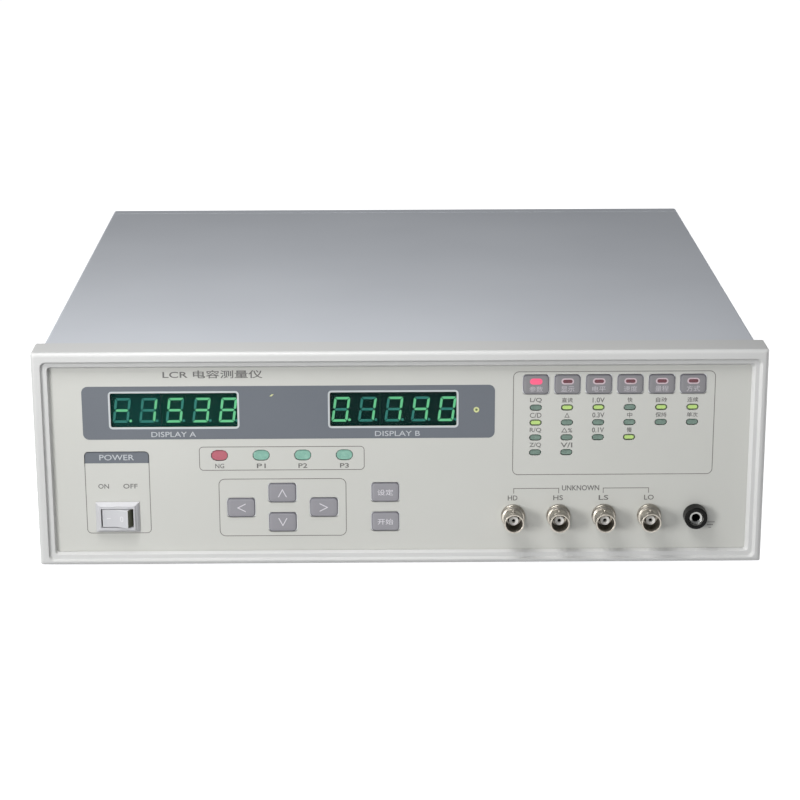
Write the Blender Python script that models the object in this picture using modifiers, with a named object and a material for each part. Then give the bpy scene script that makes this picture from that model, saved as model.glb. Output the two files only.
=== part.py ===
"""Bench LCR meter: a painted steel case with a moulded front bezel, a film keypad, two five-digit LED
displays, four BNC terminals, an earth socket, a rocker power switch and fold-out tilt legs.

Everything hangs from one empty, so the sizes below are case coordinates in metres: X to the right,
Y backwards from the bezel's front face, and Z up from the bezel's lower edge. The empty puts the
origin of the finished part under the middle of the meter, at the soles of its feet.
"""

import math

import bmesh
import bpy

MM = 0.001
GAP = 0.3 * MM  # between any two pieces that touch on the real meter
RUNNING_GAP = 0.3 * MM  # between a moving piece and what it slides or turns in
ROUND_STEPS = 24

# Case
CASE_W, CASE_H, CASE_D = 350 * MM, 107 * MM, 322 * MM
BEZEL_D = 18 * MM
STEP = 2.0 * MM  # the depth of each of the bezel's two steps
BEZEL_WALL = 6.0 * MM
SHELL_INSET, SHELL_T, SHELL_BEND = 4.0 * MM, 1.2 * MM, 1.5 * MM
SHELL_TOP, SHELL_BOTTOM = CASE_H - 0.3 * MM, 1.0 * MM
REAR_FRAME_D, REAR_BORDER = 8 * MM, 7 * MM
FOOT_DROP = 9 * MM

# Front panel, all measured from the case's middle and its lower edge
FILM_Y, FILM_T = 4.0 * MM, 0.5 * MM
PLATE_Y, PLATE_T = FILM_Y + FILM_T + GAP, 2.0 * MM
PANEL_Z = CASE_H / 2 - 1.1 * MM  # the bezel is thicker above the panel than below it
BOARD_Y, BOARD_T = 14.4 * MM, 1.6 * MM
PITCH = 15 * MM  # columns of function keys, and rows of cursor keys

WINDOW_W, WINDOW_H, WINDOW_Z = 62.4 * MM, 18.8 * MM, 77.4 * MM
WINDOW_BORDER = 0.9 * MM
WINDOW_X = {"a": -108.2 * MM, "b": -3.4 * MM}
DIGIT_W, DIGIT_BLOCK_H, DIGIT_Z = 12.7 * MM, 19.0 * MM, 76.4 * MM
DIGIT_BLOCK_Y = 6.1 * MM

BIN_LED_X = [-87 * MM + 20 * MM * i for i in range(4)]
BIN_LED_Z, BIN_LED_W, BIN_LED_H = 54.5 * MM, 8.4 * MM, 5.6 * MM

FUNCTION_X = [64.75 * MM + PITCH * i for i in range(6)]
FUNCTION_KEY_Z, FUNCTION_KEY_W, FUNCTION_KEY_H = 89.3 * MM, 12.3 * MM, 9.4 * MM
FUNCTION_KEYS = ["parameter", "display", "level", "speed", "range", "mode"]
KEY_LED_W, KEY_LED_H, KEY_LED_UP = 4.9 * MM, 2.1 * MM, 1.6 * MM
STATUS_LED_W, STATUS_LED_H = 6.0 * MM, 3.2 * MM
STATUS_ROW_Z, STATUS_ROW_PITCH = 77.7 * MM, 7.5 * MM
STATUS_ROWS = [4, 4, 3, 3, 2, 2]

KEY_W, KEY_H, KEY_R = 13.4 * MM, 9.5 * MM, 1.3 * MM
CURSOR_X, CURSOR_Z, CURSOR_SPREAD = -57.1 * MM, 28.0 * MM, 20 * MM
COMMAND_X = -7.4 * MM
KEY_PROUD, KEY_T, KEY_TRAVEL = 0.6 * MM, 0.8 * MM, 0.5 * MM
PLUNGER_R, TACT_SIDE, TACT_T = 1.7 * MM, 6.0 * MM, 2.9 * MM

TERMINAL_X = [54.4 * MM + 22 * MM * i for i in range(4)]
TERMINALS = ["high_drive", "high_sense", "low_sense", "low_drive"]
TERMINAL_Z, TERMINAL_HOLE_R = 23.0 * MM, 5.0 * MM
BNC_REACH, BNC_BARREL_R, BNC_BORE_R, BNC_FLANGE_R = 12 * MM, 4.8 * MM, 4.05 * MM, 5.5 * MM
BNC_THREAD_R, BNC_TAIL, BNC_CORE_R, BNC_CORE_BACK = 4.65 * MM, 13 * MM, 2.5 * MM, 5 * MM
BNC_LUG_R, BNC_LUG_TIP_R, BNC_LUG_BACK = 1.0 * MM, 5.5 * MM, 4.9 * MM
JACK_X, JACK_HOLE_R, JACK_REACH = 142.7 * MM, 4.5 * MM, 6 * MM

# Rocker switch
SWITCH_X, SWITCH_Z = -136.9 * MM, 23.6 * MM
SWITCH_W, SWITCH_H, SWITCH_RISE = 21.2 * MM, 15.4 * MM, 2.6 * MM
SWITCH_BODY_W, SWITCH_BODY_H, SWITCH_BODY_D = 19.2 * MM, 12.9 * MM, 16 * MM
ROCKER_WELL_W, ROCKER_WELL_H, ROCKER_WELL_D = 15.6 * MM, 9.6 * MM, 11 * MM
ROCKER_R, ROCKER_REACH, ROCKER_RISE = 7.5 * MM, 7.15 * MM, 4.1 * MM
ROCKER_TILT = math.radians(10)  # either way of level
ROCKER_H, ROCKER_PIN_R = 9.0 * MM, 1.2 * MM
ROCKER_Y = 5.6 * MM  # the axis that the rocker tips on

# Feet and tilt legs
FOOT_X, FOOT_W, FRONT_FOOT_Y, FRONT_FOOT_L = 125 * MM, 34 * MM, 32 * MM, 46 * MM
REAR_FOOT_Y, REAR_FOOT_L = 268 * MM, 28 * MM
FOOT_WALL, LEG_W, LEG_T, LEG_L = 4 * MM, 25.2 * MM, 4.6 * MM, 33 * MM
LEG_PIN_R, LEG_PIN_OUT = 1.7 * MM, 2.6 * MM
LEG_Y, LEG_Z = FRONT_FOOT_Y + FOOT_WALL + 3.2 * MM, -5.2 * MM

# Rear panel, seen from the front
REAR_PLATE_Y, REAR_PLATE_T = CASE_D - 5 * MM, 1.5 * MM
INLET_X, INLET_Z, INLET_W, INLET_H = -120 * MM, 52 * MM, 32 * MM, 40 * MM
INLET_BODY_W, INLET_BODY_H, INLET_BODY_D, INLET_FLANGE = 27 * MM, 34 * MM, 22 * MM, 2.5 * MM
SOCKET_W, SOCKET_H, SOCKET_D, SOCKET_UP = 23 * MM, 15.5 * MM, 17 * MM, 8 * MM
DRAWER_W, DRAWER_H, DRAWER_D, DRAWER_DOWN = 20 * MM, 9 * MM, 17 * MM, 10.5 * MM
PORT_X, PORT_Z, PORT_W, PORT_H = 62 * MM, 58 * MM, 74 * MM, 16 * MM
VENT_ROWS, VENT_COLUMNS, VENT_L, VENT_T = 5, 6, 18 * MM, 2.4 * MM
VENT_X, VENT_Z, VENT_PITCH_X, VENT_PITCH_Z = -62 * MM, 72 * MM, 22 * MM, 6 * MM

SHROUD_OUT = 5 * MM
REAR_REACH = SHROUD_OUT - (CASE_D - REAR_PLATE_Y - REAR_PLATE_T)
FRONT_REACH = BNC_REACH - FILM_Y
BACKMOST = CASE_D + max(REAR_REACH, 0)
FRONT_Y = -(BACKMOST - FRONT_REACH) / 2

PAINTS = {
    "bezel_plastic": ((0.80, 0.80, 0.78), 0.5, 0.0),
    "case_paint": ((0.66, 0.67, 0.70), 0.45, 0.0),
    "panel_film": ((0.76, 0.77, 0.74), 0.5, 0.0),
    "panel_metal": ((0.75, 0.76, 0.78), 0.35, 1.0),
    "key_film": ((0.45, 0.44, 0.50), 0.5, 0.0),
    "switch_plastic": ((0.82, 0.82, 0.84), 0.4, 0.0),
    "connector_metal": ((0.66, 0.63, 0.58), 0.3, 1.0),
    "insulator": ((0.88, 0.87, 0.84), 0.5, 0.0),
    "black_plastic": ((0.03, 0.03, 0.03), 0.35, 0.0),
    "window_tint": ((0.05, 0.25, 0.18), 0.1, 0.0),
    "digit_face": ((0.03, 0.10, 0.09), 0.4, 0.0),
    "led_lens": ((0.25, 0.48, 0.38), 0.3, 0.0),
    "circuit_board": ((0.05, 0.28, 0.14), 0.5, 0.0),
    "core_steel": ((0.42, 0.42, 0.44), 0.4, 1.0),
    "winding_tape": ((0.75, 0.62, 0.20), 0.5, 0.0),
    "foot_plastic": ((0.10, 0.10, 0.11), 0.6, 0.0),
}


# Scene set-up

def clear_scene():
    for obj in list(bpy.data.objects):
        bpy.data.objects.remove(obj)


def new_collection(name):
    collection = bpy.data.collections.new(name)
    bpy.context.scene.collection.children.link(collection)
    return collection


def make_material(name):
    colour, roughness, metallic = PAINTS[name]
    material = bpy.data.materials.new(name)
    material.use_nodes = True
    shader = material.node_tree.nodes["Principled BSDF"]
    shader.inputs["Base Color"].default_value = (*colour, 1)
    shader.inputs["Roughness"].default_value = roughness
    shader.inputs["Metallic"].default_value = metallic
    return material


clear_scene()
METER = new_collection("lcr_meter")
CUTTERS = new_collection("cutters")
MATERIALS = {name: make_material(name) for name in PAINTS}
CASE = bpy.data.objects.new("case_origin", None)
CASE.location = (0, FRONT_Y, FOOT_DROP)
METER.objects.link(CASE)


def adopt(obj, material, location=(0, 0, 0)):
    """Puts a new object in the meter, at a place in case coordinates."""
    METER.objects.link(obj)
    obj.parent = CASE
    obj.location = location
    if material:
        obj.data.materials.append(MATERIALS[material])
    return obj


def cut_or_join(target, tool, operation):
    """Gives target a Boolean with tool, which then only shows as wire."""
    modifier = target.modifiers.new(f"{operation.lower()}_{tool.name}", "BOOLEAN")
    modifier.operation = operation
    modifier.object = tool
    METER.objects.unlink(tool)
    CUTTERS.objects.link(tool)
    tool.hide_render = True
    tool.display_type = "WIRE"


def chamfer(obj, width):
    modifier = obj.modifiers.new("rounded_edges", "BEVEL")
    modifier.width = width
    modifier.segments = 1
    modifier.limit_method = "ANGLE"
    modifier.angle_limit = math.radians(40)


# Outlines: lists of (across, up) points

def arc(cx, cz, radius, start, end, steps):
    angles = [start + (end - start) * i / steps for i in range(steps + 1)]
    return [(cx + radius * math.cos(a), cz + radius * math.sin(a)) for a in angles]


def rounded_rect(cx, cz, width, height, radius, steps=3):
    points = []
    for quarter, (sx, sz) in enumerate([(1, 1), (-1, 1), (-1, -1), (1, -1)]):
        corner_x = cx + sx * (width / 2 - radius)
        corner_z = cz + sz * (height / 2 - radius)
        start = quarter * math.pi / 2
        points += arc(corner_x, corner_z, radius, start, start + math.pi / 2, steps)
    return points


def rect(cx, cz, width, height):
    half_w, half_h = width / 2, height / 2
    corners = [(1, 1), (-1, 1), (-1, -1), (1, -1)]
    return [(cx + sx * half_w, cz + sz * half_h) for sx, sz in corners]


def stadium(cx, cz, width, height, steps=5):
    reach = (width - height) / 2
    right = arc(cx + reach, cz, height / 2, -math.pi / 2, math.pi / 2, steps)
    left = arc(cx - reach, cz, height / 2, math.pi / 2, 3 * math.pi / 2, steps)
    return right + left


def circle(cx, cz, radius, steps=ROUND_STEPS):
    return arc(cx, cz, radius, 0, 2 * math.pi, steps)[:-1]


def hexagon(cx, cz, across_flats):
    return circle(cx, cz, across_flats / math.sqrt(3), 6)


# Solids

def outline_curve(name, outlines, thickness):
    curve = bpy.data.curves.new(name, "CURVE")
    curve.dimensions = "2D"
    curve.fill_mode = "BOTH"
    curve.extrude = thickness / 2
    for points in outlines:
        spline = curve.splines.new("POLY")
        spline.points.add(len(points) - 1)
        spline.use_cyclic_u = True
        for point, (across, up) in zip(spline.points, points):
            point.co = (across, up, 0, 1)
    return bpy.data.objects.new(name, curve)


def slab(name, outlines, front, back, material):
    """A flat piece facing the front. Outlines inside the first one are holes."""
    obj = adopt(outline_curve(name, outlines, back - front), material, (0, (front + back) / 2, 0))
    obj.rotation_euler = (math.pi / 2, 0, 0)
    return obj


def prism(name, outline, low, high, along, material, location):
    """An outline extruded from low to high along X, or along Z, about an origin at location."""
    obj = adopt(outline_curve(name, [outline], high - low), material, location)
    middle = (low + high) / 2
    if along == "X":
        obj.rotation_euler = (math.pi / 2, 0, math.pi / 2)
        obj.location.x += middle
    else:
        obj.location.z += middle
    return obj


def as_mesh(obj):
    """Replaces a curve object with a mesh of the same name and place, for a Boolean to work on."""
    bpy.context.view_layer.update()
    graph = bpy.context.evaluated_depsgraph_get()
    mesh = bpy.data.meshes.new_from_object(obj.evaluated_get(graph))
    body = bmesh.new()
    body.from_mesh(mesh)
    bmesh.ops.remove_doubles(body, verts=body.verts, dist=1e-6)
    body.to_mesh(mesh)
    body.free()
    name, matrix = obj.name, obj.matrix_world.copy()
    bpy.data.objects.remove(obj)
    solid = bpy.data.objects.new(name, mesh)
    adopt(solid, None)
    solid.matrix_world = matrix
    return solid


def box(name, x, y, z, material):
    """A block between the pairs x, y and z."""
    middle = [(low + high) / 2 for low, high in (x, y, z)]
    body = bmesh.new()
    bmesh.ops.create_cube(body, size=1)
    bmesh.ops.scale(body, vec=[high - low for low, high in (x, y, z)], verts=body.verts)
    mesh = bpy.data.meshes.new(name)
    body.to_mesh(mesh)
    body.free()
    return adopt(bpy.data.objects.new(name, mesh), material, middle)


def boxes(name, spans, material):
    """Several blocks in one mesh, to cut with or to join on."""
    mesh = bpy.data.meshes.new(name)
    body = bmesh.new()
    for x, y, z in spans:
        made = bmesh.ops.create_cube(body, size=1)["verts"]
        bmesh.ops.scale(body, vec=[high - low for low, high in (x, y, z)], verts=made)
        bmesh.ops.translate(body, vec=[(low + high) / 2 for low, high in (x, y, z)], verts=made)
    body.to_mesh(mesh)
    body.free()
    return adopt(bpy.data.objects.new(name, mesh), material)


def rod(name, radius, length, centre, axis, material=None, steps=12):
    """A cylinder along X, Y or Z."""
    body = bmesh.new()
    bmesh.ops.create_cone(
        body, cap_ends=True, segments=steps, radius1=radius, radius2=radius, depth=length
    )
    mesh = bpy.data.meshes.new(name)
    body.to_mesh(mesh)
    body.free()
    obj = adopt(bpy.data.objects.new(name, mesh), material, centre)
    turns = {"X": (0, math.pi / 2, 0), "Y": (math.pi / 2, 0, 0), "Z": (0, 0, 0)}
    obj.rotation_euler = turns[axis]
    return obj


def turned(name, profile, x, z, material, closed=True):
    """A shape turned about the Y axis through x, z. Its profile's points are (radius, height in front
    of the film), down the outer side from the front to the back. A closed profile makes a ring."""
    mesh = bpy.data.meshes.new(name)
    count = len(profile)
    edges = [(i, i + 1) for i in range(count - 1)] + ([(count - 1, 0)] if closed else [])
    mesh.from_pydata([(radius, 0, height) for radius, height in profile], edges, [])
    obj = adopt(bpy.data.objects.new(name, mesh), material, (x, FILM_Y, z))
    obj.rotation_euler = (math.pi / 2, 0, 0)
    screw = obj.modifiers.new("turned", "SCREW")
    screw.steps = screw.render_steps = ROUND_STEPS
    screw.use_merge_vertices = True
    screw.merge_threshold = 1e-6
    return obj


def lofted_ring(name, stations, material):
    """A frame whose cross-section runs through stations of (insets from the case's outline at its
    left, right, top and bottom, depth, corner radius). The outlines' points pair off."""
    loops = []
    for (left, right, top, bottom), depth, radius in stations:
        middle = ((left - right) / 2, (CASE_H + bottom - top) / 2)
        size = (CASE_W - left - right, CASE_H - top - bottom)
        outline = rounded_rect(*middle, *size, radius)
        loops.append([(across, depth, up) for across, up in outline])
    count = len(loops[0])
    points = [point for loop in loops for point in loop]
    faces = []
    for i in range(len(loops)):
        here, there = i * count, (i + 1) % len(loops) * count
        for j in range(count):
            k = (j + 1) % count
            faces.append((here + j, here + k, there + k, there + j))
    mesh = bpy.data.meshes.new(name)
    mesh.from_pydata(points, [], faces)
    body = bmesh.new()
    body.from_mesh(mesh)
    bmesh.ops.recalc_face_normals(body, faces=body.faces)
    body.to_mesh(mesh)
    body.free()
    return adopt(bpy.data.objects.new(name, mesh), material)


# Case

def all_round(inset, drop=0.0):
    return (inset, inset, inset + drop, inset - drop)


def make_bezel():
    """Two sloping steps lead in from the bezel's face to the film, whose edge lies behind the lip.
    They are narrower at the right and below."""
    edge, corner, rim = 2.0 * MM, 1.0 * MM, FILM_Y - GAP
    wall = all_round(BEZEL_WALL, CASE_H / 2 - PANEL_Z)
    lofted_ring(
        "front_bezel",
        [
            (all_round(0), BEZEL_D, corner),
            (all_round(0), edge, corner),
            (all_round(0.3 * edge), 0.3 * edge, corner),
            (all_round(edge), 0, corner),
            ((4.4 * MM, 3.0 * MM, 3.7 * MM, 2.2 * MM), 0, 2.8 * MM),
            ((5.6 * MM, 4.2 * MM, 4.8 * MM, 2.9 * MM), STEP, 2.4 * MM),
            ((7.5 * MM, 6.1 * MM, 6.5 * MM, 5.1 * MM), STEP, 1.6 * MM),
            ((9.0 * MM, 7.6 * MM, 7.8 * MM, 5.9 * MM), rim, 1.2 * MM),
            (wall, rim, 1.2 * MM),
            (wall, BEZEL_D, 1.2 * MM),
        ],
        "bezel_plastic",
    )


def channel(half_w, low, high, thickness, bend, steps=3):
    """The outline of a sheet bent into an upside-down U, with its bends rounded."""
    inner = max(bend - thickness, 0.3 * MM)
    outer_top = high - bend
    inner_top = high - thickness - inner
    right = arc(half_w - bend, outer_top, bend, 0, math.pi / 2, steps)
    left = arc(-half_w + bend, outer_top, bend, math.pi / 2, math.pi, steps)
    inside_x = half_w - thickness - inner
    back_left = arc(-inside_x, inner_top, inner, math.pi, math.pi / 2, steps)
    back_right = arc(inside_x, inner_top, inner, math.pi / 2, 0, steps)
    feet_left = [(-half_w, low), (-half_w + thickness, low)]
    feet_right = [(half_w - thickness, low), (half_w, low)]
    return right + left + feet_left + back_left + back_right + feet_right


def make_shell():
    half_w = CASE_W / 2 - SHELL_INSET
    front, back = BEZEL_D + GAP, CASE_D - REAR_FRAME_D - GAP
    cover = channel(half_w, SHELL_BOTTOM, SHELL_TOP, SHELL_T, SHELL_BEND)
    slab("top_cover", [cover], front, back, "case_paint")
    tray_half_w = half_w - SHELL_T - GAP
    tray = channel(tray_half_w, -14 * MM, 0, SHELL_T, SHELL_BEND)
    upright = [(across, SHELL_BOTTOM - up) for across, up in reversed(tray)]
    tray = as_mesh(slab("bottom_tray", [upright], front, back, "case_paint"))
    slot_x, slot_y = 12 * MM, 1.2 * MM
    slots = [
        (
            (x - slot_x, x + slot_x),
            (y - slot_y, y + slot_y),
            (SHELL_BOTTOM - 1 * MM, SHELL_BOTTOM + 2 * MM),
        )
        for x in (-45 * MM, 0, 45 * MM)
        for y in [120 * MM + 12 * MM * i for i in range(6)]
    ]
    cut_or_join(tray, boxes("floor_vents", slots, None), "DIFFERENCE")


def make_rear():
    half_w = CASE_W / 2 - SHELL_INSET
    low, high = SHELL_BOTTOM, SHELL_TOP
    middle, height = (low + high) / 2, high - low
    outer = rounded_rect(0, middle, 2 * half_w, height, SHELL_BEND)
    inner = rounded_rect(0, middle, 2 * (half_w - REAR_BORDER), height - 2 * REAR_BORDER, 2 * MM)
    slab("rear_frame", [outer, inner], CASE_D - REAR_FRAME_D, CASE_D, "bezel_plastic")
    edge = REAR_BORDER + GAP
    plate = rounded_rect(0, middle, 2 * (half_w - edge), height - 2 * edge, 2 * MM)
    vents = [
        stadium(VENT_X + VENT_PITCH_X * i, VENT_Z - VENT_PITCH_Z * j, VENT_L, VENT_T, 4)
        for i in range(VENT_COLUMNS)
        for j in range(VENT_ROWS)
        if VENT_X + VENT_PITCH_X * i < PORT_X - PORT_W / 2 - VENT_L / 2
    ]
    holes = [
        rect(INLET_X, INLET_Z, INLET_BODY_W + 2 * GAP, INLET_BODY_H + 2 * GAP),
        rect(PORT_X, PORT_Z, PORT_W - 14 * MM + 2 * GAP, 11 * MM + 2 * GAP),
    ]
    back = REAR_PLATE_Y + REAR_PLATE_T
    slab("rear_panel", [plate, *holes, *vents], REAR_PLATE_Y, back, "case_paint")


# Front panel

def status_leds():
    """(across, up) of every status LED, column by column."""
    return [
        (x, STATUS_ROW_Z - STATUS_ROW_PITCH * row)
        for x, rows in zip(FUNCTION_X, STATUS_ROWS)
        for row in range(rows)
    ]


def plain_keys():
    """Name and place of each key that has no LED."""
    return {
        "left": (CURSOR_X - CURSOR_SPREAD, CURSOR_Z),
        "right": (CURSOR_X + CURSOR_SPREAD, CURSOR_Z),
        "up": (CURSOR_X, CURSOR_Z + PITCH / 2),
        "down": (CURSOR_X, CURSOR_Z - PITCH / 2),
        "set": (COMMAND_X, CURSOR_Z + PITCH / 2),
        "start": (COMMAND_X, CURSOR_Z - PITCH / 2),
    }


def plunger_places():
    """Where each key's plunger goes through the plate: low down on a key that has an LED."""
    below_led = [(x, FUNCTION_KEY_Z - 2.4 * MM) for x in FUNCTION_X]
    return list(plain_keys().values()) + below_led


def connector_holes(clearance):
    """The round holes for the terminals and the earth socket."""
    holes = [circle(x, TERMINAL_Z, TERMINAL_HOLE_R + clearance) for x in TERMINAL_X]
    return holes + [circle(JACK_X, TERMINAL_Z, JACK_HOLE_R + clearance)]


def switch_hole():
    return rect(SWITCH_X, SWITCH_Z, SWITCH_BODY_W + 2 * GAP, SWITCH_BODY_H + 2 * GAP)


def make_film():
    """The printed film, cut out where a window, a lamp, a key or a connector comes through."""
    inset = BEZEL_WALL + GAP
    outer = rounded_rect(0, PANEL_Z, CASE_W - 2 * inset, CASE_H - 2 * inset, 1 * MM)
    glass_w, glass_h = WINDOW_W - 2 * WINDOW_BORDER, WINDOW_H - 2 * WINDOW_BORDER
    windows = [rounded_rect(x, WINDOW_Z, glass_w, glass_h, 0.8 * MM) for x in WINDOW_X.values()]
    bins = [stadium(x, BIN_LED_Z, BIN_LED_W, BIN_LED_H) for x in BIN_LED_X]
    lamps = [stadium(x, z, STATUS_LED_W, STATUS_LED_H) for x, z in status_leds()]
    slack = 2 * RUNNING_GAP
    keys = [
        rounded_rect(x, z, KEY_W + slack, KEY_H + slack, KEY_R) for x, z in plain_keys().values()
    ]
    keys += [
        rounded_rect(x, FUNCTION_KEY_Z, FUNCTION_KEY_W + slack, FUNCTION_KEY_H + slack, KEY_R)
        for x in FUNCTION_X
    ]
    holes = windows + bins + lamps + keys + connector_holes(0) + [switch_hole()]
    slab("panel_overlay", [outer, *holes], FILM_Y, FILM_Y + FILM_T, "panel_film")


def make_plate():
    """The aluminium plate behind the film."""
    inset = BEZEL_WALL + GAP
    outer = rounded_rect(0, PANEL_Z, CASE_W - 2 * inset, CASE_H - 2 * inset, 0.8 * MM)
    windows = [
        rect(x, WINDOW_Z, WINDOW_W + 2 * MM, DIGIT_BLOCK_H + 2.6 * MM) for x in WINDOW_X.values()
    ]
    bins = [rect(x, BIN_LED_Z, BIN_LED_W, BIN_LED_H) for x in BIN_LED_X]
    lamps = [rect(x, z, STATUS_LED_W, STATUS_LED_H) for x, z in status_leds()]
    key_lamps = [
        rect(x, FUNCTION_KEY_Z + KEY_LED_UP, KEY_LED_W + 1 * MM, KEY_LED_H + 0.6 * MM)
        for x in FUNCTION_X
    ]
    plungers = [circle(x, z, PLUNGER_R + 0.5 * MM, 8) for x, z in plunger_places()]
    holes = windows + bins + lamps + key_lamps + plungers + connector_holes(0) + [switch_hole()]
    slab("front_panel", [outer, *holes], PLATE_Y, PLATE_Y + PLATE_T, "panel_metal")


def make_key(name, x, z, width, height, led_up=None):
    """A key pressed into the film, with the plunger that works the switch behind it."""
    front = FILM_Y - KEY_PROUD
    outlines = [rounded_rect(x, z, width, height, KEY_R)]
    if led_up is not None:
        outlines.append(stadium(x, z + led_up, KEY_LED_W, KEY_LED_H, 4))
    key = as_mesh(slab(f"key_{name}", outlines, front, front + KEY_T, "key_film"))
    plunger_z = z if led_up is None else z - 2.4 * MM
    tip = BOARD_Y - TACT_T - KEY_TRAVEL - 0.1 * MM
    start = front + 0.4 * MM
    centre = (x, (start + tip) / 2, plunger_z)
    plunger = rod(f"plunger_{name}", PLUNGER_R, tip - start, centre, "Y", steps=8)
    cut_or_join(key, plunger, "UNION")


def make_keys():
    for name, (x, z) in plain_keys().items():
        make_key(name, x, z, KEY_W, KEY_H)
    for name, x in zip(FUNCTION_KEYS, FUNCTION_X):
        make_key(name, x, FUNCTION_KEY_Z, FUNCTION_KEY_W, FUNCTION_KEY_H, KEY_LED_UP)


def make_displays():
    """A tinted pane over each display, and behind it a two-digit and a three-digit module."""
    for side, x in WINDOW_X.items():
        pane = rounded_rect(x, WINDOW_Z, WINDOW_W + 1.4 * MM, WINDOW_H + 0.6 * MM, 0.8 * MM)
        slab(f"display_window_{side}", [pane], PLATE_Y, PLATE_Y + 0.9 * MM, "window_tint")
        left = x - 2.5 * DIGIT_W
        seam = left + 2 * DIGIT_W
        depth = (DIGIT_BLOCK_Y, BOARD_Y - GAP)
        height = (DIGIT_Z - DIGIT_BLOCK_H / 2, DIGIT_Z + DIGIT_BLOCK_H / 2)
        pair = (left + GAP / 2, seam - GAP / 2)
        triple = (seam + GAP / 2, left + 5 * DIGIT_W - GAP / 2)
        box(f"digit_pair_{side}", pair, depth, height, "digit_face")
        box(f"digit_triple_{side}", triple, depth, height, "digit_face")


def led_strip(name, spots, width, height, lens_front):
    """LEDs in a spacer: one block behind the plate, with a lens standing up at each spot."""
    xs, zs = [x for x, _ in spots], [z for _, z in spots]
    margin = 0.5 * MM
    block = box(
        name,
        (min(xs) - width / 2 - margin, max(xs) + width / 2 + margin),
        (PLATE_Y + PLATE_T + 0.5 * MM, BOARD_Y - GAP),
        (min(zs) - height / 2 - margin, max(zs) + height / 2 + margin),
        "led_lens",
    )
    lenses = [stadium(x, z, width, height) for x, z in spots]
    back = PLATE_Y + PLATE_T + 1.5 * MM
    lens = as_mesh(slab(f"lenses_{name}", lenses, lens_front, back, None))
    cut_or_join(block, lens, "UNION")


def make_leds():
    front = FILM_Y + 1.1 * MM
    slack = 2 * GAP
    bins = [(x, BIN_LED_Z) for x in BIN_LED_X]
    led_strip("bin_led_strip", bins, BIN_LED_W - slack, BIN_LED_H - slack, front)
    led_strip(
        "status_led_block", status_leds(), STATUS_LED_W - slack, STATUS_LED_H - slack, front
    )
    key_lamps = [(x, FUNCTION_KEY_Z + KEY_LED_UP) for x in FUNCTION_X]
    led_strip("key_led_strip", key_lamps, KEY_LED_W, KEY_LED_H, front)


def make_display_board():
    """The board behind the plate, stepped to clear the switch and the terminals."""
    outline = [
        (-150 * MM, 46 * MM),
        (-95 * MM, 46 * MM),
        (-95 * MM, 10 * MM),
        (6 * MM, 10 * MM),
        (6 * MM, 43 * MM),
        (154 * MM, 43 * MM),
        (154 * MM, 99 * MM),
        (-150 * MM, 99 * MM),
    ]
    board = as_mesh(
        slab("display_board", [outline], BOARD_Y, BOARD_Y + BOARD_T, "circuit_board")
    )
    half = TACT_SIDE / 2
    low_half = 1.9 * MM  # below an LED the switch is a shallow one
    spans = [
        ((x - half, x + half), (BOARD_Y - TACT_T, BOARD_Y + 0.5 * MM), (z - low_half, z + low_half))
        for x, z in plunger_places()
    ]
    cut_or_join(board, boxes("key_switches", spans, None), "UNION")


# Terminals

def make_terminal(name, x):
    """A bulkhead BNC socket: shell with two bayonet lugs, insulating core, and its nut."""
    shell = turned(
        f"bnc_shell_{name}",
        [
            (BNC_BORE_R, BNC_REACH),
            (BNC_BARREL_R, BNC_REACH),
            (BNC_BARREL_R, 2.2 * MM),
            (BNC_FLANGE_R, 2.2 * MM),
            (BNC_FLANGE_R, GAP),
            (BNC_THREAD_R, GAP),
            (BNC_THREAD_R, -BNC_TAIL),
            (BNC_CORE_R + GAP, -BNC_TAIL),
            (BNC_CORE_R + GAP, 3 * MM),
            (BNC_BORE_R, 3 * MM),
        ],
        x,
        TERMINAL_Z,
        "connector_metal",
    )
    lug_y = FILM_Y - BNC_REACH + BNC_LUG_BACK
    root = BNC_BORE_R + 0.35 * MM
    for side, up in (("top", 1), ("bottom", -1)):
        centre = (x, lug_y, TERMINAL_Z + up * (root + BNC_LUG_TIP_R) / 2)
        lug = rod(f"lug_{side}_{name}", BNC_LUG_R, BNC_LUG_TIP_R - root, centre, "Z", steps=8)
        cut_or_join(shell, lug, "UNION")
    core_front = BNC_REACH - BNC_CORE_BACK
    turned(
        f"bnc_insulator_{name}",
        [
            (0, core_front - 4 * MM),
            (0.75 * MM, core_front - 4 * MM),
            (0.75 * MM, core_front),
            (BNC_CORE_R, core_front),
            (BNC_CORE_R, -BNC_TAIL - 2 * MM),
            (0, -BNC_TAIL - 2 * MM),
        ],
        x,
        TERMINAL_Z,
        "insulator",
        closed=False,
    )
    nut = [hexagon(x, TERMINAL_Z, 13 * MM), circle(x, TERMINAL_Z, BNC_THREAD_R + GAP)]
    nut_y = PLATE_Y + PLATE_T + GAP
    slab(f"bnc_nut_{name}", nut, nut_y, nut_y + 2.5 * MM, "connector_metal")


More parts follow.
